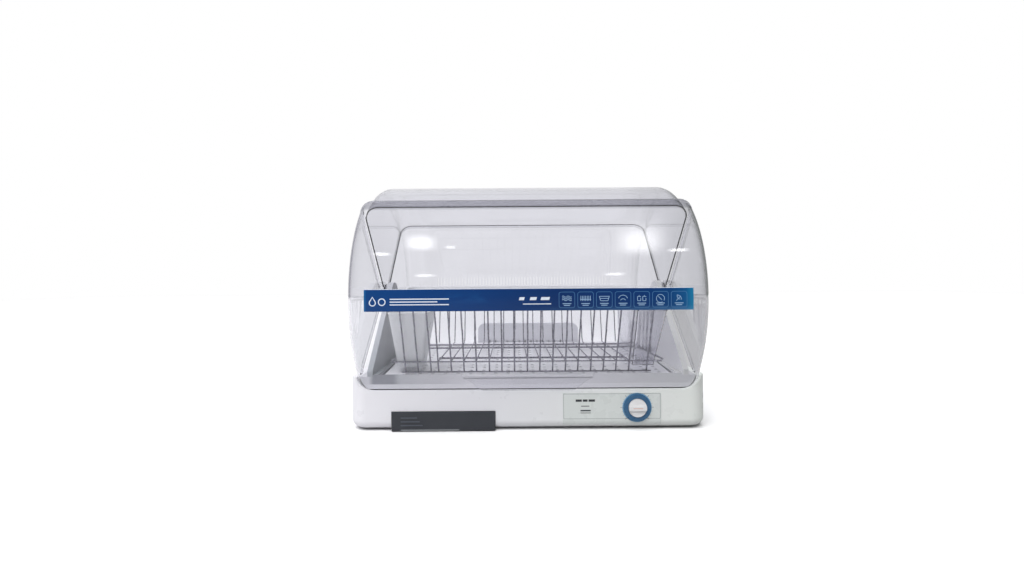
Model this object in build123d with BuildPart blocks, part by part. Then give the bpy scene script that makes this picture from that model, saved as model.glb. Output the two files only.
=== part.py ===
from build123d import *
import os
from math import asin, atan2, cos, degrees, radians, sin

os.makedirs("parts", exist_ok=True)

# Countertop hot-air steriliser and drying cabinet. Millimetres, +Z up, front towards -Y.
# The origin is on the resting surface, under the middle of the whole object.

# ---- covers and their pivot ----
DOOR_R = 192.5
DOOR_WALL = 2.2
DOOR_HALF_W = 254.8
DOOR_CORNER = 16.0
DOOR_TOP_ANGLE = 49.5
DOOR_TANGENT_ANGLE = -28.0
DOOR_EDGE_LIP = 4.5
DOOR_SIDE_LIP = 2.5
LIP_T = 4.0
LIP_CORNER = 26.0
DOOR_FOOT_CORNER = 25.0
DOOR_FOOT_HALF_W = 253.0
TOP_R = 189.0
TOP_HALF_W = 249.3
TOP_FRONT_ANGLE = 47.5
TOP_REAR_ANGLE = 133.0
BACK_R = 186.7
BACK_HALF_W = 247.0
BACK_TOP_ANGLE = 131.0
BACK_LOW_ANGLE = 235.0
COVER_WALL = 2.0
COVER_CORNER = 24.0
LABEL_T = 0.4
LABEL_HALF_W = 228.5
LABEL_LOW_Z = 180.0
LABEL_HIGH_Z = 211.0
PIVOT_Z = 195.0
PIVOT_Y = (DOOR_R + LABEL_T - BACK_R) / 2
BOSS_R = 26.0
PIN_R = 5.0
RUNNING = 0.05
BUSH_R = 7.0

# ---- base ----
BASE_W = 535.0
BASE_FRONT = PIVOT_Y - 149.0
BASE_REAR = PIVOT_Y + 155.0
BASE_BOTTOM = 3.0
BASE_TOP = 80.0
BASE_LEDGE_Z = 60.0
BASE_CORNER = 28.0
BASE_FOOT_R = 12.0
WALL = 2.5
GAP = 0.3
BASE_D = BASE_REAR - BASE_FRONT
BASE_MID_Y = (BASE_FRONT + BASE_REAR) / 2

# ---- deck and drain plate ----
DECK_HALF_W = 252.0
DECK_FRONT = PIVOT_Y - 143.0
DECK_REAR = PIVOT_Y + 148.6
RIM_TOP = 83.0
RIM_NOTCH_HALF_W = 98.0
RIM_HALF_W = 231.0
RIM_STEP_Z = 68.5
RIM_STEP = 2.0
RIM_NOTCH = 3.2
BASIN_HALF_W = 222.0
BASIN_FRONT = PIVOT_Y - 136.0
BASIN_REAR = PIVOT_Y + 115.0
BASIN_FRONT_Z = 71.0
BASIN_REAR_Z = 90.0
DRAIN_RISE = 4.0
DRAIN_T = 2.0
DRAIN_MARGIN = 2.0
DRAIN_HOLE_R = 3.0
DRAIN_PITCH_X = 19.5
DRAIN_PITCH_Y = 17.0

# ---- side towers ----
TOWER_INNER_X = 232.0
TOWER_OUTER_X = 240.0
TOWER_TOP_R = 25.0
TOWER_FRONT = PIVOT_Y - 140.2
TOWER_REAR = PIVOT_Y + 95.0

# ---- control panel, timer and drip tray on the front ----
PANEL_X = (51.0, 196.0)
PANEL_Z = (8.0, 55.0)
PANEL_T = 0.8
KNOB_X = 160.5
KNOB_Z = 33.5
KNOB_R = 13.2
RING_R = 20.2
KNOB_DEPTH = 7.0
KNOB_FACE = 4.5
TIMER_SHAFT_R = 3.0
TRAY_X = (-202.0, -49.0)
TRAY_Z = (1.0, 29.0)
TRAY_TUB_Z = (6.2, 26.0)
TRAY_DEPTH = 118.0

# ---- wire rack and the two boxes in it ----
WIRE_R = 1.5
RIM_WIRE_R = 2.0
WELD = 0.3
RACK_HALF_W = 214.0
RACK_TOP_Z = 190.0
RACK_FLOOR_Z = 99.0
RACK_FOOT_Z = 81.0
BAR_PITCH = 19.5
RACK_FRONT_TOP = PIVOT_Y - 164.0
RACK_FRONT_LOW = PIVOT_Y - 107.6
RACK_REAR_TOP = PIVOT_Y + 118.0
RACK_REAR_LOW = PIVOT_Y + 98.0
RACK_CORNER = 18.0

# ---- air path in the base ----
FAN_X = -10.0
FAN_Y = PIVOT_Y + 42.0
FAN_R = 48.0
FAN_Z = (12.0, 46.0)
ROTOR_R = 36.0
ROTOR_Z = (17.0, 41.0)
MOTOR_SHAFT_R = 2.4
DUCT_X = (-55.0, 75.0)
DUCT_Y = (PIVOT_Y + 95.0, PIVOT_Y + 137.5)
HOOD_X = (-92.0, 112.0)
HOOD_Y = (PIVOT_Y + 119.0, PIVOT_Y + 137.5)
HOOD_TOP = 134.0
FILTER_X = (110.0, 190.0)
FILTER_Z = (17.0, 60.0)
GLAND_X = -200.0
GLAND_Z = 26.0
GLAND_BORE_R = 3.6

PIVOT_AXIS = Axis((0, PIVOT_Y, PIVOT_Z), (-1, 0, 0))


def radial_plane(angle):
    """Plane through the pivot axis whose local Y points `angle` degrees above straight forward."""
    turn = radians(angle)
    return Plane(origin=(0, PIVOT_Y, PIVOT_Z), x_dir=(1, 0, 0), z_dir=(0, -sin(turn), -cos(turn)))


def side_plane(x):
    """Upright plane across the object at x; local axes run rearward and up from the pivot."""
    return Plane(origin=(x, PIVOT_Y, PIVOT_Z), x_dir=(0, 1, 0), z_dir=(1, 0, 0))


def front_plane(y):
    """Upright plane facing the front at y; local axes are world X and Z."""
    return Plane(origin=(0, y, 0), x_dir=(1, 0, 0), z_dir=(0, -1, 0))


def block(x_range, y_range, z_range, mode=Mode.ADD):
    """A box between two limits along each axis, in the part being built."""
    middle = [(low + high) / 2 for low, high in (x_range, y_range, z_range)]
    size = [high - low for low, high in (x_range, y_range, z_range)]
    with Locations(tuple(middle)):
        Box(*size, mode=mode)


def wire(start, end, radius=WIRE_R):
    """A straight round wire between two points, in the part being built."""
    run = Vector(*end) - Vector(*start)
    with BuildSketch(Plane(origin=start, z_dir=run)) as section:
        Circle(radius)
    extrude(section.sketch, amount=run.length)


def cover_section(plane, half_width, radius, wall, corner):
    """The C-shaped section of a roll-top cover: two side walls joined by the outer skin."""
    with BuildSketch(plane) as section:
        RectangleRounded(2 * half_width, 2 * radius, corner)
        RectangleRounded(2 * (half_width - wall), 2 * (radius - wall), corner - wall, mode=Mode.SUBTRACT)
        Rectangle(2 * half_width + 1, radius + 1, align=(Align.CENTER, Align.MAX), mode=Mode.SUBTRACT)
    return section.sketch


def pivot_bosses(inner_x, outer_x, radius, hole_radius):
    """Round bosses with pin holes at both pivots."""
    for side in (-1, 1):
        with BuildSketch(side_plane(side * inner_x)) as boss:
            Circle(radius)
        extrude(boss.sketch, amount=side * (outer_x - inner_x))
    with BuildSketch(side_plane(-outer_x - 1)) as hole:
        Circle(hole_radius)
    extrude(hole.sketch, amount=2 * (outer_x + 1), mode=Mode.SUBTRACT)


def finish(part, name):
    """Label a finished piece and write its STEP file."""
    part.label = name
    export_step(part, f"parts/{name}.step")


# ================= covers =================

# The front cover runs straight down from its curved part to the base ledge.
DOOR_FOOT_Z = BASE_LEDGE_Z + 1.2
STRAIGHT_START_Z = PIVOT_Z + DOOR_R * sin(radians(DOOR_TANGENT_ANGLE))
STRAIGHT_LENGTH = (STRAIGHT_START_Z - DOOR_FOOT_Z) / cos(radians(DOOR_TANGENT_ANGLE))
FOOT_BACK = DOOR_R * cos(radians(DOOR_TANGENT_ANGLE)) + STRAIGHT_LENGTH * sin(radians(DOOR_TANGENT_ANGLE))
DOOR_FOOT_ANGLE = -degrees(atan2(PIVOT_Z - DOOR_FOOT_Z, FOOT_BACK))
SIDE_FOOT_Z = BASE_TOP + 1.2
LIP_START_R = BOSS_R - 1
GRIP_TOP_Z = 79.0
GRIP_REACH = 8.8

# The grip is a flared lip on the lower edge of the front cover.
with BuildPart() as grip:
    with BuildSketch(side_plane(-110)):
        with BuildLine():
            Polyline(
                (-FOOT_BACK - GRIP_REACH, GRIP_TOP_Z - PIVOT_Z),
                (-FOOT_BACK - GRIP_REACH - DOOR_WALL, GRIP_TOP_Z - PIVOT_Z),
                (-FOOT_BACK - GRIP_REACH, DOOR_FOOT_Z - PIVOT_Z),
                (-FOOT_BACK - GRIP_REACH + DOOR_WALL, DOOR_FOOT_Z - PIVOT_Z),
                close=True,
            )
        make_face()
    extrude(amount=220)
    with BuildSketch(front_plane(BASE_FRONT + 20)):
        with BuildLine():
            Spline(
                (-100, GRIP_TOP_Z + 1),
                (-82, GRIP_TOP_Z - 6),
                (-61, DOOR_FOOT_Z - 1),
                tangents=((1, -0.1), (1, -0.1)),
            )
            Line((-61, DOOR_FOOT_Z - 1), (61, DOOR_FOOT_Z - 1))
            Spline(
                (61, DOOR_FOOT_Z - 1),
                (82, GRIP_TOP_Z - 6),
                (100, GRIP_TOP_Z + 1),
                tangents=((1, 0.1), (1, 0.1)),
            )
            Line((100, GRIP_TOP_Z + 1), (-100, GRIP_TOP_Z + 1))
        make_face()
    extrude(amount=60, mode=Mode.INTERSECT)

with BuildPart() as front_cover:
    door_plane = radial_plane(DOOR_TANGENT_ANGLE)
    door_section = cover_section(door_plane, DOOR_HALF_W, DOOR_R, DOOR_WALL, DOOR_CORNER)
    revolve(door_section, axis=PIVOT_AXIS, revolution_arc=DOOR_TOP_ANGLE - DOOR_TANGENT_ANGLE)
    extrude(door_section, amount=STRAIGHT_LENGTH + 12, dir=door_plane.z_dir)
    # Lips along the top edge and along both side edges.
    with BuildSketch(radial_plane(DOOR_TOP_ANGLE)):
        RectangleRounded(2 * (DOOR_HALF_W + DOOR_SIDE_LIP), 2 * (DOOR_R + DOOR_EDGE_LIP), LIP_CORNER)
        RectangleRounded(
            2 * (DOOR_HALF_W - DOOR_WALL),
            2 * (DOOR_R - DOOR_WALL),
            DOOR_CORNER - DOOR_WALL,
            mode=Mode.SUBTRACT,
        )
        with Locations((0, LIP_START_R)):
            Rectangle(3 * DOOR_HALF_W, 3 * DOOR_R, align=(Align.CENTER, Align.MAX), mode=Mode.SUBTRACT)
    extrude(amount=LIP_T)
    with BuildSketch(radial_plane(DOOR_FOOT_ANGLE)):
        lip_x = DOOR_HALF_W + (DOOR_SIDE_LIP - DOOR_WALL) / 2
        with Locations((lip_x, LIP_START_R), (-lip_x, LIP_START_R)):
            Rectangle(DOOR_SIDE_LIP + DOOR_WALL, DOOR_R - LIP_START_R - 12, align=(Align.CENTER, Align.MIN))
    extrude(amount=-LIP_T)
    split(bisect_by=radial_plane(DOOR_FOOT_ANGLE), keep=Keep.BOTTOM)
    # The foot: side walls stop above the base, the skin goes down between its shoulders.
    with BuildSketch(front_plane(BASE_REAR)):
        Rectangle(2 * DOOR_HALF_W + 40, SIDE_FOOT_Z, align=(Align.CENTER, Align.MIN))
        with Locations((0, DOOR_FOOT_Z + 100)):
            RectangleRounded(2 * DOOR_FOOT_HALF_W, 200, DOOR_FOOT_CORNER, mode=Mode.SUBTRACT)
    extrude(amount=BASE_D + 80, mode=Mode.SUBTRACT)
    block((-300, 300), (DECK_FRONT - 1, BASE_REAR), (0, SIDE_FOOT_Z), mode=Mode.SUBTRACT)
    add(grip.part)
    pivot_bosses(DOOR_HALF_W - DOOR_WALL, DOOR_HALF_W + 2, BOSS_R, BUSH_R)
finish(front_cover.part, "front_cover")

with BuildPart() as label_strip:
    LABEL_LOW_ANGLE = degrees(asin((LABEL_LOW_Z - PIVOT_Z) / DOOR_R))
    LABEL_HIGH_ANGLE = degrees(asin((LABEL_HIGH_Z - PIVOT_Z) / DOOR_R))
    with BuildSketch(radial_plane(LABEL_LOW_ANGLE)):
        with Locations((0, DOOR_R)):
            Rectangle(2 * LABEL_HALF_W, LABEL_T, align=(Align.CENTER, Align.MIN))
    revolve(axis=PIVOT_AXIS, revolution_arc=LABEL_HIGH_ANGLE - LABEL_LOW_ANGLE)
finish(label_strip.part, "label_strip")

with BuildPart() as top_cover:
    top_section = cover_section(radial_plane(TOP_FRONT_ANGLE), TOP_HALF_W, TOP_R, COVER_WALL, COVER_CORNER)
    revolve(top_section, axis=PIVOT_AXIS, revolution_arc=TOP_REAR_ANGLE - TOP_FRONT_ANGLE)
    pivot_bosses(TOP_HALF_W - COVER_WALL, TOP_HALF_W, BOSS_R - 4, PIN_R + GAP)
finish(top_cover.part, "top_cover")

# Upright exhaust slots high in the back cover.
VENT_Z = (212.0, 229.0)
VENT_PITCH = 6.5
VENT_COUNT = 57
VENT_W = 2.2

with BuildPart() as back_cover:
    back_section = cover_section(radial_plane(BACK_TOP_ANGLE), BACK_HALF_W, BACK_R, COVER_WALL, COVER_CORNER - 2)
    revolve(back_section, axis=PIVOT_AXIS, revolution_arc=BACK_LOW_ANGLE - BACK_TOP_ANGLE)
    split(bisect_by=Plane.XY.offset(BASE_TOP + GAP), keep=Keep.TOP)
    pivot_bosses(BACK_HALF_W - COVER_WALL, BACK_HALF_W, BOSS_R - 4, PIN_R + GAP)
    with BuildSketch(front_plane(PIVOT_Y + BACK_R + 5)):
        with Locations((0, sum(VENT_Z) / 2)):
            with GridLocations(VENT_PITCH, 1, VENT_COUNT, 1):
                Rectangle(VENT_W, VENT_Z[1] - VENT_Z[0])
    extrude(amount=30, mode=Mode.SUBTRACT)
finish(back_cover.part, "back_cover")

# Opaque inner lining behind the rack, below the exhaust slots.
LINING_R = BACK_R - COVER_WALL - GAP
LINING_TOP_ANGLE = 175.6
LINING_RETURN_R = 158.0
LINING_HALF_W = BACK_HALF_W - COVER_WALL - GAP
LINING_WALL = 1.8
LINING_CORNER = 20.0

with BuildPart() as rear_lining:
    lining_plane = radial_plane(LINING_TOP_ANGLE)
    lining_section = cover_section(lining_plane, LINING_HALF_W, LINING_R, LINING_WALL, LINING_CORNER)
    revolve(lining_section, axis=PIVOT_AXIS, revolution_arc=BACK_LOW_ANGLE - LINING_TOP_ANGLE)
    split(bisect_by=Plane.XY.offset(BASE_TOP + GAP), keep=Keep.TOP)
    with BuildSketch(side_plane(-BACK_HALF_W)):
        Circle(LINING_RETURN_R)
    extrude(amount=2 * BACK_HALF_W, mode=Mode.SUBTRACT)
finish(rear_lining.part, "rear_lining")


# ================= hinges =================

PIN_END_X = DOOR_HALF_W + 4.2
BUSH_X = (DOOR_HALF_W - DOOR_WALL - 0.3, DOOR_HALF_W + 2.3)
CAP_X = (DOOR_HALF_W + 2.6, DOOR_HALF_W + 5.8)
CAP_R = 13.0

with BuildPart() as hinge_pins:
    for side in (-1, 1):
        with BuildSketch(side_plane(side * TOWER_INNER_X)):
            Circle(PIN_R)
        extrude(amount=side * (PIN_END_X - TOWER_INNER_X))
finish(hinge_pins.part, "hinge_pins")

with BuildPart() as hinge_bushes:
    for side in (-1, 1):
        with BuildSketch(side_plane(side * BUSH_X[0])):
            Circle(BUSH_R)
            Circle(PIN_R + RUNNING, mode=Mode.SUBTRACT)
        extrude(amount=side * (BUSH_X[1] - BUSH_X[0]))
finish(hinge_bushes.part, "hinge_bushes")

with BuildPart() as hinge_caps:
    for side in (-1, 1):
        with BuildSketch(side_plane(side * CAP_X[0])):
            Circle(CAP_R)
        extrude(amount=side * (CAP_X[1] - CAP_X[0]))
        with BuildSketch(side_plane(side * CAP_X[0])):
            Circle(PIN_R)
        extrude(amount=side * (PIN_END_X - CAP_X[0]), mode=Mode.SUBTRACT)
    fillet(hinge_caps.edges().group_by(SortBy.LENGTH)[-1].group_by(Axis.X)[0], 1.2)
    fillet(hinge_caps.edges().group_by(SortBy.LENGTH)[-1].group_by(Axis.X)[-1], 1.2)
finish(hinge_caps.part, "hinge_caps")


def side_tower(side):
    """White post that carries one pivot: a thin-walled triangle with a round head and a foot."""
    foot_z = BASE_TOP - PIVOT_Z
    middle = (TOWER_FRONT + TOWER_REAR) / 2 - PIVOT_Y
    with BuildPart() as tower:
        with BuildSketch(side_plane(side * TOWER_INNER_X)) as outline:
            Circle(TOWER_TOP_R)
            with Locations((middle, foot_z)):
                Rectangle(TOWER_REAR - TOWER_FRONT, 8, align=(Align.CENTER, Align.MIN))
            make_hull()
        extrude(amount=side * (TOWER_OUTER_X - TOWER_INNER_X))
        with BuildSketch(side_plane(side * (TOWER_INNER_X + WALL))):
            Circle(TOWER_TOP_R - WALL)
            with Locations((middle, foot_z + WALL)):
                Rectangle(TOWER_REAR - TOWER_FRONT - 5 * WALL, 3, align=(Align.CENTER, Align.MIN))
            make_hull()
        extrude(amount=side * 20, mode=Mode.SUBTRACT)
        with BuildSketch(side_plane(side * TOWER_INNER_X)):
            Circle(PIN_R + 4)
        extrude(amount=side * (TOWER_OUTER_X - TOWER_INNER_X))
        # The foot flange that is screwed down to the deck.
        inner, outer = sorted((side * (TOWER_INNER_X - 7), side * (TOWER_INNER_X + WALL)))
        block((inner, outer), (TOWER_FRONT + 4, TOWER_REAR - 4), (BASE_TOP, BASE_TOP + WALL))
        with BuildSketch(side_plane(side * TOWER_INNER_X)):
            Circle(PIN_R)
        extrude(amount=side * 20, mode=Mode.SUBTRACT)
    return tower


left_tower = side_tower(-1)
finish(left_tower.part, "left_tower")
right_tower = side_tower(1)
finish(right_tower.part, "right_tower")


# ================= base =================

RING_INSET = 14.0
SHELF_HALF_W = 254.5
SHELF_CORNER = 26.0
TRAY_OPENING_GAP = 0.6

with BuildPart() as base_hollow:
    with BuildSketch(Plane.XY.offset(BASE_BOTTOM + WALL)):
        with Locations((0, BASE_MID_Y)):
            RectangleRounded(BASE_W - 2 * WALL, BASE_D - 2 * WALL, BASE_CORNER - WALL)
    extrude(amount=BASE_TOP - BASE_BOTTOM - 2 * WALL)
    fillet(base_hollow.edges().group_by(Axis.Z)[0], BASE_FOOT_R - WALL)

with BuildPart() as base_housing:
    with BuildSketch(Plane.XY.offset(BASE_BOTTOM)):
        with Locations((0, BASE_MID_Y)):
            RectangleRounded(BASE_W, BASE_D, BASE_CORNER)
    extrude(amount=BASE_TOP - BASE_BOTTOM)
    fillet(base_housing.edges().group_by(Axis.Z)[0], BASE_FOOT_R)
    fillet(base_housing.edges().group_by(Axis.Z)[-1], 2.5)
    add(base_hollow.part, mode=Mode.SUBTRACT)
    # Opening in the underside for the bottom plate.
    with BuildSketch(Plane.XY.offset(BASE_BOTTOM - 1)):
        with Locations((0, BASE_MID_Y)):
            RectangleRounded(BASE_W - 2 * RING_INSET, BASE_D - 2 * RING_INSET, BASE_CORNER - RING_INSET)
    extrude(amount=WALL + 2, mode=Mode.SUBTRACT)
    # Ledge under the deck along the sides and the rear.
    with BuildSketch(Plane.XY.offset(BASE_TOP - 2 * WALL)):
        with Locations((0, BASE_MID_Y)):
            RectangleRounded(BASE_W - 2, BASE_D - 2, BASE_CORNER - 1)
        with Locations((0, PIVOT_Y + 142)):
            Rectangle(486, 2 * BASE_D, align=(Align.CENTER, Align.MAX), mode=Mode.SUBTRACT)
        with Locations((0, DECK_FRONT + 8)):
            Rectangle(BASE_W, BASE_D, align=(Align.CENTER, Align.MAX), mode=Mode.SUBTRACT)
    extrude(amount=WALL)
    # Shelf round the recess that the front cover's foot drops into.
    with BuildSketch(front_plane(PIVOT_Y - 140.5)):
        with Locations((0, BASE_LEDGE_Z + 40)):
            RectangleRounded(2 * SHELF_HALF_W + 2 * WALL, 80 + 2 * WALL, SHELF_CORNER + WALL)
        with Locations((0, BASE_TOP)):
            Rectangle(BASE_W, 200, align=(Align.CENTER, Align.MIN), mode=Mode.SUBTRACT)
    extrude(amount=7.5)
    with BuildSketch(front_plane(PIVOT_Y - 136)):
        with Locations((0, BASE_LEDGE_Z + 40)):
            RectangleRounded(2 * SHELF_HALF_W, 80, SHELF_CORNER)
    extrude(amount=20, mode=Mode.SUBTRACT)
    # The deck drops in from above.
    deck_opening = (DECK_HALF_W + 0.4, DECK_FRONT - GAP, DECK_REAR + 0.4)
    block((-deck_opening[0], deck_opening[0]), deck_opening[1:], (77.5, 90), mode=Mode.SUBTRACT)
    # Openings: drip tray, timer neck, air filter, mains lead.
    block(
        (TRAY_X[0] - TRAY_OPENING_GAP, TRAY_X[1] + TRAY_OPENING_GAP),
        (BASE_FRONT - 1, BASE_FRONT + 15),
        (BASE_BOTTOM - 1, TRAY_Z[1] + TRAY_OPENING_GAP),
        mode=Mode.SUBTRACT,
    )
    with BuildSketch(front_plane(BASE_FRONT + 5)):
        with Locations((KNOB_X, KNOB_Z)):
            Circle(6.2)
    extrude(amount=10, mode=Mode.SUBTRACT)
    block(FILTER_X, (BASE_REAR - 5, BASE_REAR + 1), FILTER_Z, mode=Mode.SUBTRACT)
    with BuildSketch(front_plane(BASE_REAR + 1)):
        with Locations((GLAND_X, GLAND_Z)):
            Circle(6.0)
    extrude(amount=8, mode=Mode.SUBTRACT)
finish(base_housing.part, "base_housing")

PLATE_Z = (BASE_BOTTOM, BASE_BOTTOM + WALL)
FEET = [
    (-222.0, PIVOT_Y - 116),
    (106.0, PIVOT_Y - 116),
    (202.0, PIVOT_Y - 116),
    (-202.0, PIVOT_Y + 122),
    (202.0, PIVOT_Y + 122),
]
FOOT_STEM_R = 3.0
POSTS = [(side * 236.0, PIVOT_Y + y) for side in (-1, 1) for y in (-96.0, 14.0, 124.0)]
SCREW_R = 1.5
SCREW_HEAD_R = 3.4
SCREW_HEAD_T = 1.4

with BuildPart() as bottom_plate:
    with BuildSketch(Plane.XY.offset(PLATE_Z[0])):
        with Locations((0, BASE_MID_Y)):
            RectangleRounded(
                BASE_W - 2 * RING_INSET - 2 * GAP,
                BASE_D - 2 * RING_INSET - 2 * GAP,
                BASE_CORNER - RING_INSET - GAP,
            )
        with Locations(FEET):
            Circle(FOOT_STEM_R, mode=Mode.SUBTRACT)
        with Locations(POSTS):
            Circle(SCREW_R, mode=Mode.SUBTRACT)
        # Cooling slots under the fan.
        with Locations((FAN_X, FAN_Y)):
            with GridLocations(9, 1, 7, 1):
                SlotOverall(46, 4, rotation=90, mode=Mode.SUBTRACT)
    extrude(amount=WALL)
    with BuildSketch(Plane.XY.offset(PLATE_Z[0])):
        with Locations(POSTS):
            Circle(SCREW_HEAD_R + 0.2)
    extrude(amount=SCREW_HEAD_T, mode=Mode.SUBTRACT)
finish(bottom_plate.part, "bottom_plate")

with BuildPart() as base_screws:
    for x, y in POSTS:
        with BuildSketch(Plane((x, y, PLATE_Z[0] + 0.1))):
            Circle(SCREW_HEAD_R)
        extrude(amount=SCREW_HEAD_T - 0.1)
        with BuildSketch(Plane((x, y, PLATE_Z[0] + SCREW_HEAD_T))):
            Circle(SCREW_R)
        extrude(amount=14)
finish(base_screws.part, "base_screws")

with BuildPart() as rubber_feet:
    for x, y in FEET:
        with BuildSketch(Plane((x, y, 0))):
            Circle(9)
        extrude(amount=BASE_BOTTOM, taper=6)
        with BuildSketch(Plane((x, y, BASE_BOTTOM))):
            Circle(FOOT_STEM_R)
        extrude(amount=WALL)
        with BuildSketch(Plane((x, y, PLATE_Z[1]))):
            Circle(FOOT_STEM_R + 1.2)
        extrude(amount=1.5)
finish(rubber_feet.part, "rubber_feet")


# ================= deck =================

BASIN_SLOPE = (BASIN_REAR_Z - BASIN_FRONT_Z) / (BASIN_REAR - BASIN_FRONT)
BASIN_FRONT_TOP = BASE_TOP
BASIN_REAR_TOP = 92.0
PLATE_UNDER_Z = BASE_TOP - WALL
TOWER_SCREWS = [(side * 228.5, PIVOT_Y + y) for side in (-1, 1) for y in (-120.0, -20.0, 75.0)]
POST_R = 4.5
SPOUT = (-125.0, BASIN_FRONT + 9)
SPOUT_R = 5.0
SPOUT_END_Z = 32.0
OUTLET_X = (-48.0, 68.0)
OUTLET_Y = (PIVOT_Y + 122, PIVOT_Y + 134)


def basin_z(y):
    """Height of the sloping basin floor at y."""
    return BASIN_FRONT_Z + (y - BASIN_FRONT) * BASIN_SLOPE


def side_prism(half_width, corners, mode=Mode.ADD):
    """A prism across the object, from a side outline given as (y, z) corners."""
    with BuildSketch(side_plane(-half_width)) as outline:
        with BuildLine():
            Polyline(*[(y - PIVOT_Y, z - PIVOT_Z) for y, z in corners], close=True)
        make_face()
    extrude(outline.sketch, amount=2 * half_width, mode=mode)


UNDER_MEETS_PLATE = BASIN_FRONT + (PLATE_UNDER_Z + WALL - BASIN_FRONT_Z) / BASIN_SLOPE
BASIN_OUTER = [
    (BASIN_FRONT - WALL, BASIN_FRONT_Z - WALL),
    (UNDER_MEETS_PLATE, PLATE_UNDER_Z),
    (BASIN_REAR + WALL, PLATE_UNDER_Z),
    (BASIN_REAR + WALL, BASIN_REAR_TOP),
    (BASIN_FRONT - WALL, BASIN_FRONT_TOP),
]
BASIN_INNER = [
    (BASIN_FRONT, BASIN_FRONT_Z),
    (BASIN_REAR, BASIN_REAR_Z),
    (BASIN_REAR, BASIN_REAR_TOP + 10),
    (BASIN_FRONT, BASIN_REAR_TOP + 10),
]
UNDER_FLOOR = [
    (BASIN_FRONT, BASIN_FRONT_Z - WALL),
    (BASIN_REAR, BASIN_REAR_Z - WALL),
    (BASIN_REAR, BASE_LEDGE_Z),
    (BASIN_FRONT, BASE_LEDGE_Z),
]

RIM_FRONT_CUT = [
    (DECK_FRONT - 1, BASE_LEDGE_Z + 2),
    (DECK_FRONT, BASE_LEDGE_Z + 2),
    (DECK_FRONT + RIM_STEP, RIM_STEP_Z),
    (DECK_FRONT + RIM_STEP, RIM_TOP + 1),
    (DECK_FRONT - 1, RIM_TOP + 1),
]

with BuildPart() as inner_deck:
    block((-DECK_HALF_W, DECK_HALF_W), (DECK_FRONT, DECK_REAR), (PLATE_UNDER_Z, BASE_TOP))
    side_prism(BASIN_HALF_W + WALL, BASIN_OUTER)
    side_prism(BASIN_HALF_W, BASIN_INNER, mode=Mode.SUBTRACT)
    side_prism(BASIN_HALF_W, UNDER_FLOOR, mode=Mode.SUBTRACT)
    # Front rim with a shallow notch in its middle; its foot steps out towards the front cover.
    with BuildSketch(front_plane(DECK_FRONT + WALL + RIM_STEP)):
        with Locations((0, BASE_LEDGE_Z + GAP + 100)):
            RectangleRounded(2 * DECK_HALF_W, 200, DOOR_FOOT_CORNER)
        with Locations((0, BASE_TOP)):
            Rectangle(BASE_W, 200, align=(Align.CENTER, Align.MIN), mode=Mode.SUBTRACT)
            Rectangle(2 * RIM_HALF_W, RIM_TOP - BASE_TOP, align=(Align.CENTER, Align.MIN))
        with Locations((0, RIM_TOP - RIM_NOTCH)):
            RectangleRounded(2 * RIM_NOTCH_HALF_W, 2 * RIM_NOTCH, 2, mode=Mode.SUBTRACT)
    extrude(amount=WALL + RIM_STEP)
    side_prism(DECK_HALF_W + 1, RIM_FRONT_CUT, mode=Mode.SUBTRACT)
    # Locating tab beside the notch.
    block((106, 115), (DECK_FRONT + WALL + RIM_STEP, BASIN_FRONT - 0.5), (BASE_TOP, RIM_TOP))
    # Posts for the screws from below, and the drain spout over the drip tray.
    for x, y in POSTS:
        with BuildSketch(Plane((x, y, PLATE_Z[1]))):
            Circle(POST_R)
        extrude(amount=PLATE_UNDER_Z - PLATE_Z[1])
        with BuildSketch(Plane((x, y, PLATE_Z[1]))):
            Circle(SCREW_R)
        extrude(amount=18, mode=Mode.SUBTRACT)
    with BuildSketch(Plane((SPOUT[0], SPOUT[1], SPOUT_END_Z))):
        Circle(SPOUT_R + 2)
    extrude(amount=basin_z(SPOUT[1]) - SPOUT_END_Z - 1)
    with BuildSketch(Plane((SPOUT[0], SPOUT[1], SPOUT_END_Z - 1))):
        Circle(SPOUT_R)
    extrude(amount=60, mode=Mode.SUBTRACT)
    # Hot-air outlet and the tower screw holes.
    block(OUTLET_X, OUTLET_Y, (PLATE_UNDER_Z - 1, BASE_TOP + 1), mode=Mode.SUBTRACT)
    with BuildSketch(Plane.XY.offset(PLATE_UNDER_Z - 1)):
        with Locations(TOWER_SCREWS):
            Circle(SCREW_R)
    extrude(amount=WALL + 2, mode=Mode.SUBTRACT)
finish(inner_deck.part, "inner_deck")

with BuildPart() as tower_screws:
    for x, y in TOWER_SCREWS:
        with BuildSketch(Plane((x, y, PLATE_UNDER_Z - 1.8))):
            Circle(3)
        extrude(amount=1.8)
        with BuildSketch(Plane((x, y, PLATE_UNDER_Z))):
            Circle(SCREW_R)
        extrude(amount=WALL)
finish(tower_screws.part, "tower_screws")

# Removable perforated plate that lies parallel to the basin floor.
DRAIN_HALF_W = BASIN_HALF_W - DRAIN_MARGIN
DRAIN_FRONT = BASIN_FRONT + DRAIN_MARGIN
DRAIN_REAR = BASIN_REAR - DRAIN_MARGIN


def drain_top(y):
    """Height of the drain plate's top face at y."""
    return basin_z(y) + DRAIN_RISE + DRAIN_T


DRAIN_OUTLINE = [
    (DRAIN_FRONT, drain_top(DRAIN_FRONT) - DRAIN_T),
    (DRAIN_REAR, drain_top(DRAIN_REAR) - DRAIN_T),
    (DRAIN_REAR, drain_top(DRAIN_REAR)),
    (DRAIN_FRONT, drain_top(DRAIN_FRONT)),
]

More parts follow.
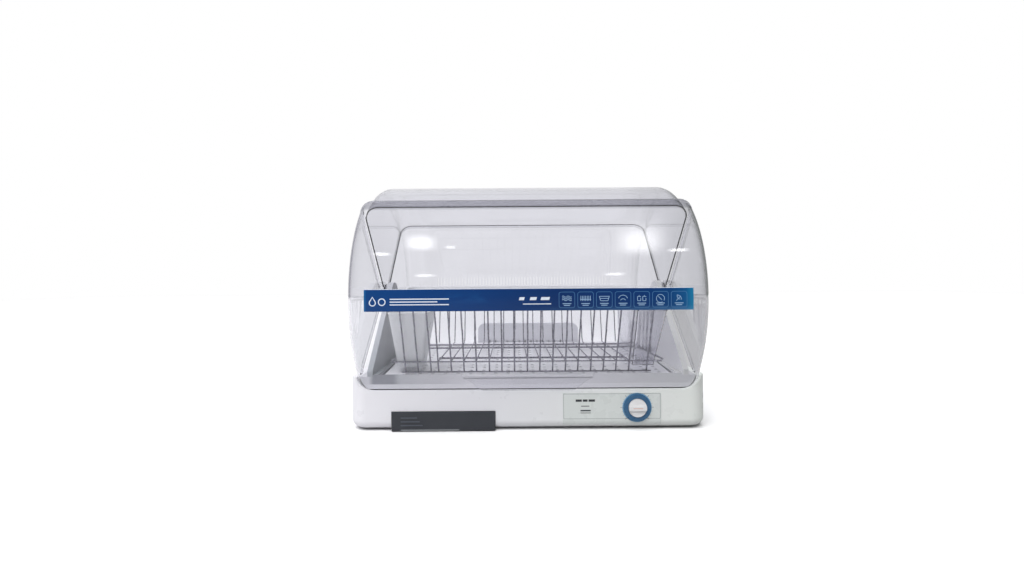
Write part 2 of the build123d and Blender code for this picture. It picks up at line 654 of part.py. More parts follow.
with BuildPart() as drain_plate:
    side_prism(DRAIN_HALF_W, DRAIN_OUTLINE)
    # Standing ribs carry it over the basin floor.
    for x in (-200, 0, 200):
        with BuildSketch(side_plane(x - 1)):
            with BuildLine():
                Polyline(
                    (DRAIN_FRONT + 8 - PIVOT_Y, basin_z(DRAIN_FRONT + 8) + GAP - PIVOT_Z),
                    (DRAIN_REAR - 8 - PIVOT_Y, basin_z(DRAIN_REAR - 8) + GAP - PIVOT_Z),
                    (DRAIN_REAR - 8 - PIVOT_Y, basin_z(DRAIN_REAR - 8) + DRAIN_RISE + 0.5 - PIVOT_Z),
                    (DRAIN_FRONT + 8 - PIVOT_Y, basin_z(DRAIN_FRONT + 8) + DRAIN_RISE + 0.5 - PIVOT_Z),
                    close=True,
                )
            make_face()
        extrude(amount=2)
    with BuildSketch(Plane.XY.offset(BASIN_FRONT_Z)):
        with Locations((DRAIN_PITCH_X / 2, (DRAIN_FRONT + DRAIN_REAR) / 2)):
            with GridLocations(DRAIN_PITCH_X, DRAIN_PITCH_Y, 21, 13):
                Circle(DRAIN_HOLE_R)
    extrude(amount=40, mode=Mode.SUBTRACT)
finish(drain_plate.part, "drain_plate")


# ================= control panel, timer, drip tray =================

PANEL_FRONT = BASE_FRONT - PANEL_T

with BuildPart() as control_panel:
    # A thin plate that follows the front wall and turns in with its rounded foot.
    with BuildSketch(side_plane(PANEL_X[0])):
        arc_z = BASE_BOTTOM + BASE_FOOT_R - PIVOT_Z
        front = BASE_FRONT - PIVOT_Y
        with Locations((front + BASE_FOOT_R, arc_z)):
            Circle(BASE_FOOT_R + PANEL_T)
            Circle(BASE_FOOT_R, mode=Mode.SUBTRACT)
            Rectangle(60, 60, align=(Align.MIN, Align.CENTER), mode=Mode.SUBTRACT)
            Rectangle(60, 60, align=(Align.CENTER, Align.MIN), mode=Mode.SUBTRACT)
        with Locations((front, PANEL_Z[0] - PIVOT_Z)):
            Rectangle(60, 60, align=(Align.CENTER, Align.MAX), mode=Mode.SUBTRACT)
        with Locations((front, arc_z)):
            Rectangle(PANEL_T, PANEL_Z[1] - PIVOT_Z - arc_z, align=(Align.MAX, Align.MIN))
    extrude(amount=PANEL_X[1] - PANEL_X[0])
    with BuildSketch(front_plane(BASE_FRONT + 1)):
        with Locations((KNOB_X, KNOB_Z)):
            Circle(6.2)
    extrude(amount=5, mode=Mode.SUBTRACT)
finish(control_panel.part, "control_panel")

KNOB_BACK = PANEL_FRONT - 0.4
SHAFT_IN_KNOB = 3.5


def front_disc(y, radius, depth, mode=Mode.ADD):
    """A disc on the timer's axis that runs from y towards the front."""
    with BuildSketch(front_plane(y)) as disc:
        with Locations((KNOB_X, KNOB_Z)):
            Circle(radius)
    extrude(disc.sketch, amount=depth, mode=mode)


with BuildPart() as knob_ring:
    front_disc(PANEL_FRONT, RING_R, 3.0)
    fillet(knob_ring.edges().group_by(Axis.Y)[0], 1.4)
    front_disc(PANEL_FRONT + 1, KNOB_R + 0.4, 10, mode=Mode.SUBTRACT)
finish(knob_ring.part, "knob_ring")

with BuildPart() as timer_knob:
    front_disc(KNOB_BACK, KNOB_R, KNOB_DEPTH, mode=Mode.ADD)
    fillet(timer_knob.edges().group_by(Axis.Y)[0], 1.2)
    # A finger grip stands across the face.
    for side in (-1, 1):
        with BuildSketch(front_plane(KNOB_BACK - KNOB_FACE)):
            with Locations((KNOB_X, KNOB_Z + side * 10.5)):
                Rectangle(2 * KNOB_R, 14)
        extrude(amount=KNOB_DEPTH, mode=Mode.SUBTRACT)
    front_disc(KNOB_BACK + 1, TIMER_SHAFT_R, SHAFT_IN_KNOB + 1, mode=Mode.SUBTRACT)
finish(timer_knob.part, "timer_knob")

TIMER_FRONT = BASE_FRONT + WALL + 1.5
TIMER_DEPTH = 32.0
TIMER_R = 20.5
NECK_R = 5.8

with BuildPart() as timer_shaft:
    front_disc(TIMER_FRONT + 12, TIMER_SHAFT_R, TIMER_FRONT + 12 - (KNOB_BACK - SHAFT_IN_KNOB))
finish(timer_shaft.part, "timer_shaft")

with BuildPart() as timer_body:
    front_disc(TIMER_FRONT + TIMER_DEPTH, TIMER_R, TIMER_DEPTH)
    front_disc(TIMER_FRONT, NECK_R, TIMER_FRONT - PANEL_FRONT)
    front_disc(TIMER_FRONT + 12.5, TIMER_SHAFT_R + RUNNING, 30, mode=Mode.SUBTRACT)
finish(timer_body.part, "timer_body")

TRAY_FACE = (BASE_FRONT - 2.5, BASE_FRONT + 2.0)
TRAY_TUB_X = (TRAY_X[0] + 3, TRAY_X[1] - 3)
TRAY_WALL = 2.0

with BuildPart() as drip_tray:
    block(TRAY_X, TRAY_FACE, TRAY_Z)
    fillet(drip_tray.edges().group_by(Axis.Y)[0], 1.2)
    block(TRAY_TUB_X, (TRAY_FACE[1], TRAY_FACE[1] + TRAY_DEPTH), TRAY_TUB_Z)
    block(
        (TRAY_TUB_X[0] + TRAY_WALL, TRAY_TUB_X[1] - TRAY_WALL),
        (TRAY_FACE[1], TRAY_FACE[1] + TRAY_DEPTH - TRAY_WALL),
        (TRAY_TUB_Z[0] + TRAY_WALL, TRAY_TUB_Z[1] + 1),
        mode=Mode.SUBTRACT,
    )
finish(drip_tray.part, "drip_tray")


# ================= wire rack =================

BAR_LIMITS = (-7, 8)
MAIN_BARS = [BAR_PITCH * n for n in range(BAR_LIMITS[0], BAR_LIMITS[1] + 1)]
END_BARS = [-187.5, -168.0, -148.5, 184.0]
BARS = MAIN_BARS + END_BARS
LONG_WIRE_Z = RACK_FLOOR_Z - 2 * WIRE_R + WELD
RAIL_X = 209.0
LONG_WIRES = [PIVOT_Y + y for y in (-112.2, 35, 77)]
SHORT_WIRE_Y = PIVOT_Y - 76
SHORT_WIRE_X = (-142.0, 160.0)
FLOOR_BAR_Y = (PIVOT_Y - 115, PIVOT_Y + 96.6)

with BuildPart() as rack_rim:
    rim_mid = (RACK_FRONT_TOP + RACK_REAR_TOP) / 2
    rim_half = (RACK_REAR_TOP - RACK_FRONT_TOP) / 2
    with BuildLine(Plane((0, rim_mid, RACK_TOP_Z))) as rim_path:
        FilletPolyline(
            (RACK_HALF_W, -rim_half),
            (RACK_HALF_W, rim_half),
            (-RACK_HALF_W, rim_half),
            (-RACK_HALF_W, -rim_half),
            radius=RACK_CORNER,
            close=True,
        )
    with BuildSketch(Plane(origin=rim_path.line @ 0, z_dir=rim_path.line % 0)):
        Circle(RIM_WIRE_R)
    sweep(path=rim_path.line)
finish(rack_rim.part, "rack_rim")

with BuildPart() as rack_front_bars:
    for x in BARS:
        wire((x, RACK_FRONT_LOW, RACK_FOOT_Z), (x, RACK_FRONT_TOP + RIM_WIRE_R + 1, RACK_TOP_Z))
finish(rack_front_bars.part, "rack_front_bars")

with BuildPart() as rack_rear_bars:
    for x in BARS:
        wire((x, RACK_REAR_LOW, RACK_FLOOR_Z), (x, RACK_REAR_TOP - RIM_WIRE_R - 1, RACK_TOP_Z))
finish(rack_rear_bars.part, "rack_rear_bars")

with BuildPart() as rack_floor_bars:
    for x in MAIN_BARS:
        wire((x, FLOOR_BAR_Y[0], RACK_FLOOR_Z), (x, FLOOR_BAR_Y[1], RACK_FLOOR_Z))
finish(rack_floor_bars.part, "rack_floor_bars")

with BuildPart() as rack_long_wires:
    for y in LONG_WIRES:
        wire((-RAIL_X, y, LONG_WIRE_Z), (RAIL_X, y, LONG_WIRE_Z))
    wire((SHORT_WIRE_X[0], SHORT_WIRE_Y, LONG_WIRE_Z), (SHORT_WIRE_X[1], SHORT_WIRE_Y, LONG_WIRE_Z))
finish(rack_long_wires.part, "rack_long_wires")

with BuildPart() as rack_end_rails:
    for side in (-1, 1):
        rail = side * (RAIL_X + WIRE_R - WELD)
        wire((rail, LONG_WIRES[0], RACK_FLOOR_Z), (rail, RACK_REAR_LOW, RACK_FLOOR_Z))
finish(rack_end_rails.part, "rack_end_rails")

SIDE_BAR_YS = [PIVOT_Y + y for y in (-62, -40, -18, 4, 26, 48, 70)]

with BuildPart() as rack_end_bars:
    for side in (-1, 1):
        for y in SIDE_BAR_YS:
            wire(
                (side * (RAIL_X - 1.4 * WIRE_R), y, RACK_FLOOR_Z),
                (side * (RACK_HALF_W - RIM_WIRE_R - 1), y, RACK_TOP_Z),
            )
finish(rack_end_bars.part, "rack_end_bars")


# ================= boxes in the rack =================

def tapered_box(top_x, top_y, low_x, low_y, z_range, wall):
    """An open box whose side walls lean; every range is (low, high)."""

    def level(z, inset):
        """The box's outline at height z, moved in by inset."""
        share = (z - z_range[0]) / (z_range[1] - z_range[0])
        x0, x1 = [low + share * (top - low) for low, top in zip(low_x, top_x)]
        y0, y1 = [low + share * (top - low) for low, top in zip(low_y, top_y)]
        with BuildSketch(Plane(((x0 + x1) / 2, (y0 + y1) / 2, z))) as outline:
            RectangleRounded(x1 - x0 - 2 * inset, y1 - y0 - 2 * inset, BOX_CORNER - inset)
        return outline.sketch.faces()[0]

    with BuildPart() as box:
        loft([level(z_range[0], 0), level(z_range[1], 0)])
        loft([level(z_range[0] + wall, wall), level(z_range[1] + 3, wall)], mode=Mode.SUBTRACT)
    return box


BOX_CORNER = 5.0
BOX_WALL = 1.6
CUTLERY_TOP_X = (-207.0, -147.0)
CUTLERY_LOW_X = (-203.5, -163.0)
CUTLERY_TOP_Y = (PIVOT_Y - 150.0, PIVOT_Y - 72.0)
CUTLERY_LOW_Y = (PIVOT_Y - 104.5, PIVOT_Y - 72.0)
CUTLERY_Z = (88.0, 176.0)

cutlery_box = tapered_box(CUTLERY_TOP_X, CUTLERY_TOP_Y, CUTLERY_LOW_X, CUTLERY_LOW_Y, CUTLERY_Z, BOX_WALL)
finish(cutlery_box.part, "cutlery_box")

ACCESSORY_TOP_X = (164.0, 208.0)
ACCESSORY_LOW_X = (166.0, 200.0)
ACCESSORY_TOP_Y = (PIVOT_Y - 148.0, PIVOT_Y - 5.0)
ACCESSORY_LOW_Y = (PIVOT_Y - 104.5, PIVOT_Y - 5.0)
ACCESSORY_Z = (88.0, 178.0)

accessory_box = tapered_box(
    ACCESSORY_TOP_X, ACCESSORY_TOP_Y, ACCESSORY_LOW_X, ACCESSORY_LOW_Y, ACCESSORY_Z, BOX_WALL
)
finish(accessory_box.part, "accessory_box")


# ================= hot air: fan, heater, outlet, filter =================

SHEET = 2.0

with BuildPart() as outlet_hood:
    with BuildSketch(front_plane(HOOD_Y[1])):
        with Locations(((HOOD_X[0] + HOOD_X[1]) / 2, BASE_TOP + GAP)):
            Rectangle(HOOD_X[1] - HOOD_X[0], HOOD_TOP - BASE_TOP, align=(Align.CENTER, Align.MIN))
    extrude(amount=HOOD_Y[1] - HOOD_Y[0])
    fillet(outlet_hood.edges().filter_by(Axis.Y).group_by(Axis.Z)[-1], 14)
    with BuildSketch(front_plane(HOOD_Y[1] - SHEET)):
        with Locations(((HOOD_X[0] + HOOD_X[1]) / 2, 0)):
            Rectangle(HOOD_X[1] - HOOD_X[0] - 2 * SHEET, HOOD_TOP - 12, align=(Align.CENTER, Align.MIN))
    extrude(amount=HOOD_Y[1] - HOOD_Y[0] - 2 * SHEET, mode=Mode.SUBTRACT)
    # Louvres that blow the hot air forward over the rack.
    with BuildSketch(front_plane(HOOD_Y[0] + 5)):
        with Locations(((HOOD_X[0] + HOOD_X[1]) / 2, 94)):
            with GridLocations(12, 1, 14, 1):
                SlotOverall(12, 3, rotation=90)
    extrude(amount=10, mode=Mode.SUBTRACT)
finish(outlet_hood.part, "outlet_hood")

FAN_OUTLET_X = (FAN_X, FAN_X + FAN_R)

with BuildPart() as fan_housing:
    with BuildSketch(Plane.XY.offset(FAN_Z[0])):
        with Locations((FAN_X, FAN_Y)):
            Circle(FAN_R)
        with Locations((FAN_X - SHEET, FAN_Y)):
            Rectangle(FAN_R + SHEET, DUCT_Y[0] - GAP - FAN_Y, align=(Align.MIN, Align.MIN))
    extrude(amount=FAN_Z[1] - FAN_Z[0])
    with BuildSketch(Plane.XY.offset(FAN_Z[0] + SHEET)):
        with Locations((FAN_X, FAN_Y)):
            Circle(FAN_R - SHEET)
        with Locations((FAN_X, FAN_Y)):
            Rectangle(FAN_R - SHEET, DUCT_Y[0] - FAN_Y, align=(Align.MIN, Align.MIN))
    extrude(amount=FAN_Z[1] - FAN_Z[0] - 2 * SHEET, mode=Mode.SUBTRACT)
    with BuildSketch(Plane.XY.offset(FAN_Z[0] - 1)):
        with Locations((FAN_X, FAN_Y)):
            Circle(27)
    extrude(amount=SHEET + 2, mode=Mode.SUBTRACT)
    with BuildSketch(Plane.XY.offset(FAN_Z[1] - SHEET - 1)):
        with Locations((FAN_X, FAN_Y)):
            Circle(6)
    extrude(amount=SHEET + 2, mode=Mode.SUBTRACT)
finish(fan_housing.part, "fan_housing")

BLADE_COUNT = 24
BLADE_LENGTH = 9.0

with BuildPart() as fan_rotor:
    with BuildSketch(Plane((FAN_X, FAN_Y, ROTOR_Z[1] - 1.6))):
        Circle(ROTOR_R)
    extrude(amount=1.6)
    with BuildSketch(Plane((FAN_X, FAN_Y, ROTOR_Z[0]))):
        Circle(ROTOR_R)
        Circle(ROTOR_R - BLADE_LENGTH, mode=Mode.SUBTRACT)
    extrude(amount=1.2)
    with BuildSketch(Plane((FAN_X, FAN_Y, ROTOR_Z[0]))):
        with PolarLocations(ROTOR_R - BLADE_LENGTH / 2 - 0.3, BLADE_COUNT):
            Rectangle(BLADE_LENGTH - 0.6, 1.2, rotation=28)
    extrude(amount=ROTOR_Z[1] - ROTOR_Z[0] - 0.5)
    with BuildSketch(Plane((FAN_X, FAN_Y, ROTOR_Z[1] - 12))):
        Circle(8)
    extrude(amount=12)
    with BuildSketch(Plane((FAN_X, FAN_Y, ROTOR_Z[0]))):
        Circle(MOTOR_SHAFT_R)
    extrude(amount=40, mode=Mode.SUBTRACT)
finish(fan_rotor.part, "fan_rotor")

MOTOR_Z = (FAN_Z[1], FAN_Z[1] + 18)

with BuildPart() as motor_shaft:
    with BuildSketch(Plane((FAN_X, FAN_Y, ROTOR_Z[1] - 12))):
        Circle(MOTOR_SHAFT_R)
    extrude(amount=MOTOR_Z[1] - 4 - (ROTOR_Z[1] - 12))
finish(motor_shaft.part, "motor_shaft")

with BuildPart() as fan_motor:
    with BuildSketch(Plane((FAN_X, FAN_Y, MOTOR_Z[0]))):
        Circle(22)
    extrude(amount=MOTOR_Z[1] - MOTOR_Z[0])
    fillet(fan_motor.edges().group_by(Axis.Z)[-1], 3)
    with BuildSketch(Plane((FAN_X, FAN_Y, MOTOR_Z[0]))):
        Circle(MOTOR_SHAFT_R + RUNNING)
    extrude(amount=MOTOR_Z[1] - MOTOR_Z[0] - 3.5, mode=Mode.SUBTRACT)
finish(fan_motor.part, "fan_motor")

with BuildPart() as heater_duct:
    block(DUCT_X, DUCT_Y, (FAN_Z[0], PLATE_UNDER_Z - GAP))
    block(
        (DUCT_X[0] + SHEET, DUCT_X[1] - SHEET),
        (DUCT_Y[0] + SHEET, DUCT_Y[1] - SHEET),
        (FAN_Z[0] + SHEET, BASE_TOP),
        mode=Mode.SUBTRACT,
    )
    block(
        (FAN_OUTLET_X[0], FAN_OUTLET_X[1] - SHEET),
        (DUCT_Y[0] - 1, DUCT_Y[0] + SHEET + 1),
        (FAN_Z[0] + SHEET, FAN_Z[1] - SHEET),
        mode=Mode.SUBTRACT,
    )
finish(heater_duct.part, "heater_duct")

HEATER_X = (DUCT_X[0] + SHEET, DUCT_X[1] - SHEET)
HEATER_Y = (DUCT_Y[0] + SHEET, DUCT_Y[1] - SHEET)
HEATER_Z = (50.0, 63.0)
FIN_COUNT = 28
FIN_PITCH = 4.4

with BuildPart() as ptc_heater:
    # Two long bars carry the fins between them.
    for y in (HEATER_Y[0], HEATER_Y[1] - 4):
        block(HEATER_X, (y, y + 4), HEATER_Z)
    with BuildSketch(Plane.XY.offset(HEATER_Z[0])):
        with Locations((sum(HEATER_X) / 2, sum(HEATER_Y) / 2)):
            with GridLocations(FIN_PITCH, 1, FIN_COUNT, 1):
                Rectangle(0.9, HEATER_Y[1] - HEATER_Y[0])
    extrude(amount=HEATER_Z[1] - HEATER_Z[0])
finish(ptc_heater.part, "ptc_heater")

with BuildPart() as thermostat:
    with BuildSketch(Plane(origin=(DUCT_X[0], sum(DUCT_Y) / 2, 56), z_dir=(-1, 0, 0))):
        Circle(8)
    extrude(amount=6)
    with BuildSketch(Plane(origin=(DUCT_X[0] - 6, sum(DUCT_Y) / 2, 56), z_dir=(-1, 0, 0))):
        Rectangle(3, 12)
    extrude(amount=5)
finish(thermostat.part, "thermostat")

with BuildPart() as thermal_fuse:
    wire((DUCT_X[1] + 3, DUCT_Y[0] + 6, 56), (DUCT_X[1] + 3, DUCT_Y[1] - 8, 56), radius=3)
finish(thermal_fuse.part, "thermal_fuse")

with BuildPart() as terminal_block:
    block((-215, -183), (PIVOT_Y + 84, PIVOT_Y + 104), (PLATE_Z[1], 22))
    with BuildSketch(Plane.XY.offset(22)):
        with Locations((-199, PIVOT_Y + 94)):
            with GridLocations(10, 10, 3, 2):
                Circle(2.6)
    extrude(amount=-6, mode=Mode.SUBTRACT)
finish(terminal_block.part, "terminal_block")

GLAND_FLANGE_R = 10.0

with BuildPart() as cord_gland:
    with BuildSketch(front_plane(BASE_REAR + 2.5)):
        with Locations((GLAND_X, GLAND_Z)):
            Circle(GLAND_FLANGE_R)
    extrude(amount=2.5)
    with BuildSketch(front_plane(BASE_REAR)):
        with Locations((GLAND_X, GLAND_Z)):
            Circle(6.0)
    extrude(amount=WALL)
    with BuildSketch(front_plane(BASE_REAR - WALL)):
        with Locations((GLAND_X, GLAND_Z)):
            Circle(8.0)
    extrude(amount=5)
    with BuildSketch(front_plane(BASE_REAR + 5)):
        with Locations((GLAND_X, GLAND_Z)):
            Circle(GLAND_BORE_R)
    extrude(amount=20, mode=Mode.SUBTRACT)
finish(cord_gland.part, "cord_gland")

FRAME_FLANGE = 3.0
FRAME_T = 1.6
FRAME_DEPTH = 26.0
FRAME_GAP = 0.6

with BuildPart() as filter_frame:
    block(
        (FILTER_X[0] - FRAME_FLANGE, FILTER_X[1] + FRAME_FLANGE),
        (BASE_REAR + GAP, BASE_REAR + GAP + FRAME_T),
        (FILTER_Z[0] - FRAME_FLANGE, FILTER_Z[1] + FRAME_FLANGE),
    )
    block(
        (FILTER_X[0] + FRAME_GAP, FILTER_X[1] - FRAME_GAP),
        (BASE_REAR - FRAME_DEPTH, BASE_REAR + GAP),
        (FILTER_Z[0] + FRAME_GAP, FILTER_Z[1] - FRAME_GAP),
    )
    block(
        (FILTER_X[0] + FRAME_GAP + FRAME_T, FILTER_X[1] - FRAME_GAP - FRAME_T),
        (BASE_REAR - FRAME_DEPTH - 1, BASE_REAR),
        (FILTER_Z[0] + FRAME_GAP + FRAME_T, FILTER_Z[1] - FRAME_GAP - FRAME_T),
        mode=Mode.SUBTRACT,
    )
    # Intake grille and a finger pull on the outer face.
    with BuildSketch(front_plane(BASE_REAR + 5)):
        with Locations((sum(FILTER_X) / 2, sum(FILTER_Z) / 2)):
            with GridLocations(6, 1, 12, 1):
                SlotOverall(34, 3, rotation=90)
    extrude(amount=10, mode=Mode.SUBTRACT)
    block(
        (sum(FILTER_X) / 2 - 14, sum(FILTER_X) / 2 + 14),
        (BASE_REAR + GAP + FRAME_T, BASE_REAR + GAP + 9),
        (FILTER_Z[1] + 0.6, FILTER_Z[1] + FRAME_FLANGE),
    )
finish(filter_frame.part, "filter_frame")

PAD_INSET = FRAME_GAP + FRAME_T + 0.2

with BuildPart() as filter_pad:
    block(
        (FILTER_X[0] + PAD_INSET, FILTER_X[1] - PAD_INSET),
        (BASE_REAR - FRAME_DEPTH + 4, BASE_REAR - 4),
        (FILTER_Z[0] + PAD_INSET, FILTER_Z[1] - PAD_INSET),
    )
finish(filter_pad.part, "filter_pad")
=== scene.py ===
from math import asin, ceil, cos, hypot, pi, radians, sin

import bmesh
import bpy
from mathutils import Matrix, Vector

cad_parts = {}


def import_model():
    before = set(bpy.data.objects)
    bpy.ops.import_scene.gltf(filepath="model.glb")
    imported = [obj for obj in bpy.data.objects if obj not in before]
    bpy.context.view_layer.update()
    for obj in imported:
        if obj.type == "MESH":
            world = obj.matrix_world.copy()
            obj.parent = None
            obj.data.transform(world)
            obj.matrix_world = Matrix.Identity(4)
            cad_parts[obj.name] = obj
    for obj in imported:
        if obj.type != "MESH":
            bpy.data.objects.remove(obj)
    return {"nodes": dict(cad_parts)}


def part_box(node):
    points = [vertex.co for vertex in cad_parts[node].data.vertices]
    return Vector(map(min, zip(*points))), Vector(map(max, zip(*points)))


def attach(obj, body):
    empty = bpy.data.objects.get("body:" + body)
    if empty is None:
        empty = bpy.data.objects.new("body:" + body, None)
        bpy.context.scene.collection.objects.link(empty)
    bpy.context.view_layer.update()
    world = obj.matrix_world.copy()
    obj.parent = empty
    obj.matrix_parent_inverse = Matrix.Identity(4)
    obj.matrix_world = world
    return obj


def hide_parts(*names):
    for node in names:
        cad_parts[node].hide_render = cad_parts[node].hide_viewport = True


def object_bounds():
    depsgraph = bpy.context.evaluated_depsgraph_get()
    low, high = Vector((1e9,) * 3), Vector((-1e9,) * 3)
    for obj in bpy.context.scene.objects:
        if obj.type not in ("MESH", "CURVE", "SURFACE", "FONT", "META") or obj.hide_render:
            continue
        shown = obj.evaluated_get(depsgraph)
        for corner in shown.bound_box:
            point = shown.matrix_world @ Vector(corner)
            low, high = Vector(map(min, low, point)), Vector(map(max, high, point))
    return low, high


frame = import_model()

# Countertop hot-air steriliser cabinet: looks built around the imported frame. Metres, +Z up, front at -Y.
cad_low, cad_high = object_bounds()
nodes = frame["nodes"]
MM = 0.001


def middle(node):
    """Centre of a CAD node's box."""
    low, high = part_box(node)
    return (low + high) / 2


PIVOT = middle("hinge_pins")


# ================= shader helpers =================

def srgb(red, green, blue):
    """Linear colour from display values of 0 to 255."""

    def channel(value):
        value /= 255
        return value / 12.92 if value <= 0.04045 else ((value + 0.055) / 1.055) ** 2.4

    return (channel(red), channel(green), channel(blue), 1.0)


def darker(colour, shade):
    """A colour with each channel multiplied by a shade."""
    return tuple(channel * shade for channel in colour[:3]) + (1.0,)


class Nodes:
    """The shader nodes of a material or a world in the making."""

    def __init__(self, owner):
        owner.use_nodes = True
        self.tree = owner.node_tree
        self.tree.nodes.clear()

    def node(self, kind, **settings):
        made = self.tree.nodes.new(kind)
        for name, value in settings.items():
            setattr(made, name, value)
        return made

    def link(self, source, target):
        self.tree.links.new(source, target)

    def feed(self, values, sockets):
        """Feeds each socket from another socket or a plain value."""
        for value, socket in zip(values, sockets):
            if isinstance(value, bpy.types.NodeSocket):
                self.link(value, socket)
            else:
                socket.default_value = value

    def part(self, vector, axis):
        """One coordinate of a vector."""
        split = self.node("ShaderNodeSeparateXYZ")
        self.link(vector, split.inputs[0])
        return split.outputs[axis]

    def spread(self, source, low, high, source_low=0.35, source_high=0.65, **settings):
        """A source value mapped to another range and held inside it."""
        scale = self.node("ShaderNodeMapRange", **settings)
        scale.inputs["From Min"].default_value = source_low
        scale.inputs["From Max"].default_value = source_high
        scale.inputs["To Min"].default_value = low
        scale.inputs["To Max"].default_value = high
        self.link(source, scale.inputs["Value"])
        return scale.outputs["Result"]

    def ramp(self, source, *stops):
        """Colour ramp; each stop is (place, colour)."""
        ramp = self.node("ShaderNodeValToRGB")
        marks = ramp.color_ramp.elements
        while len(marks) < len(stops):
            marks.new(0.5)
        for mark, (place, colour) in zip(marks, stops):
            mark.position = place
            mark.color = colour
        self.link(source, ramp.inputs["Fac"])
        return ramp.outputs["Color"]

    def mask(self, source, *stops):
        """Grey ramp; each stop is (place, strength from 0 to 1)."""
        return self.ramp(source, *((place, (strength,) * 3 + (1,)) for place, strength in stops))

    def blend(self, factor, first, second, mode="MIX"):
        """Two colours mixed by a factor; each is a socket or a plain value."""
        mix = self.node("ShaderNodeMix", data_type="RGBA", blend_type=mode)
        self.feed((factor, first, second), (mix.inputs[0], mix.inputs[6], mix.inputs[7]))
        return mix.outputs[2]

    def math(self, operation, *values):
        """A Math node on sockets or numbers."""
        made = self.node("ShaderNodeMath", operation=operation)
        self.feed(values, made.inputs)
        return made.outputs[0]

    def mix_shaders(self, factor, first, second, output):
        """Two shaders mixed by a factor, as the surface of an output node."""
        pick = self.node("ShaderNodeMixShader")
        self.feed((factor, first.outputs[0], second.outputs[0]), pick.inputs)
        self.link(pick.outputs[0], output.inputs["Surface"])


class Paint(Nodes):
    """A material in the making: one Principled shader and the textures that drive it."""

    def __init__(self, name):
        self.material = bpy.data.materials.new(name)
        super().__init__(self.material)
        self.output = self.node("ShaderNodeOutputMaterial")
        self.shader = self.node("ShaderNodeBsdfPrincipled")
        self.link(self.shader.outputs[0], self.output.inputs["Surface"])
        self.place = self.node("ShaderNodeTexCoord").outputs["Object"]

    def set(self, **values):
        """Constants on the shader's own sockets; underscores stand for spaces."""
        for name, value in values.items():
            self.shader.inputs[name.replace("_", " ")].default_value = value
        return self

    def drive(self, socket_name, source):
        self.link(source, self.shader.inputs[socket_name])
        return self

    def base_color(self):
        """The socket that drives the base colour so far."""
        return self.shader.inputs["Base Color"].links[0].from_socket

    def noise(self, size, detail=3.0, stretch=(1, 1, 1), distortion=0.0):
        """Noise whose features are about `size` metres across, in object coordinates scaled by `stretch`."""
        mapping = self.node("ShaderNodeMapping")
        mapping.inputs["Scale"].default_value = stretch
        self.link(self.place, mapping.inputs["Vector"])
        texture = self.node("ShaderNodeTexNoise")
        texture.inputs["Scale"].default_value = 1 / size
        texture.inputs["Detail"].default_value = detail
        texture.inputs["Distortion"].default_value = distortion
        self.link(mapping.outputs["Vector"], texture.inputs["Vector"])
        return texture.outputs["Fac"]

    def along(self, axis, low, high):
        """0 to 1 between two places on an object axis, and held past them."""
        return self.spread(self.part(self.place, axis), 0.0, 1.0, low, high)

    def bump(self, height, depth):
        """Relief of `depth` metres from a 0-1 height."""
        bump = self.node("ShaderNodeBump")
        bump.inputs["Distance"].default_value = depth
        bump.inputs["Strength"].default_value = 1.0
        self.link(height, bump.inputs["Height"])
        self.link(bump.outputs["Normal"], self.shader.inputs["Normal"])
        return self

    def let_through(self, share, colour):
        """Light passes straight through, tinted by a colour; the share is a number or a socket."""
        through = self.node("ShaderNodeBsdfTransparent")
        through.inputs["Color"].default_value = colour
        self.mix_shaders(share, self.shader, through, self.output)


# ================= plastics =================

def mottled(paint, colour, shade, size=0.05):
    """Base colour that drifts between a colour and a slightly darker shade of it."""
    cloud = paint.noise(size, detail=4.0)
    paint.drive("Base Color", paint.ramp(cloud, (0.35, darker(colour, shade)), (0.65, colour)))


def clouded(paint, tone, colour, share, size=0.05, detail=4.0):
    """Base colour of one tone with faint clouds of another colour."""
    cloud = paint.spread(paint.noise(size, detail=detail), 0.0, share)
    return paint.drive("Base Color", paint.blend(cloud, tone, colour))


def moulded(name, colour, roughness, grain=0.0006, relief=0.00002, shade=0.97):
    """Moulded plastic: faint colour drift, uneven gloss and a fine leathery grain."""
    paint = Paint(name)
    mottled(paint, colour, shade)
    paint.set(IOR=1.5, Specular_IOR_Level=0.5)
    smudge = paint.noise(0.02, detail=5.0)
    paint.drive("Roughness", paint.spread(smudge, roughness * 0.85, roughness * 1.2))
    return paint.bump(paint.noise(grain, detail=2.0), relief)


def clear(name, colour, density, roughness=0.012, absorb=(0.55, 0.56, 0.6, 1.0)):
    """Clear moulded plastic: tinted where it is thick, with flow ripples and fine wipe marks.
    Sunlight and soft light pass straight through it."""
    paint = Paint(name)
    haze = paint.noise(0.09, detail=3.0, stretch=(1, 2.5, 1))
    paint.drive("Base Color", paint.ramp(haze, (0.3, darker(colour, 0.975)), (0.7, colour)))
    wipe = paint.noise(0.004, detail=6.0, stretch=(0.25, 1, 1))
    paint.drive("Roughness", paint.spread(wipe, roughness * 0.5, roughness * 2.0))
    paint.set(IOR=1.49, Transmission_Weight=1.0)
    paint.bump(paint.noise(0.06, detail=1.0), 0.00004)
    rays = paint.node("ShaderNodeLightPath").outputs
    straight = paint.math("MAXIMUM", rays["Is Shadow Ray"], rays["Is Diffuse Ray"])
    paint.let_through(straight, tuple(channel ** 0.5 for channel in colour[:3]) + (1.0,))
    volume = paint.node("ShaderNodeVolumeAbsorption")
    volume.inputs["Color"].default_value = absorb
    volume.inputs["Density"].default_value = density
    paint.link(volume.outputs[0], paint.output.inputs["Volume"])
    return paint


def clear_plastic():
    return clear("clear_plastic", srgb(250, 250, 252), density=9.0)


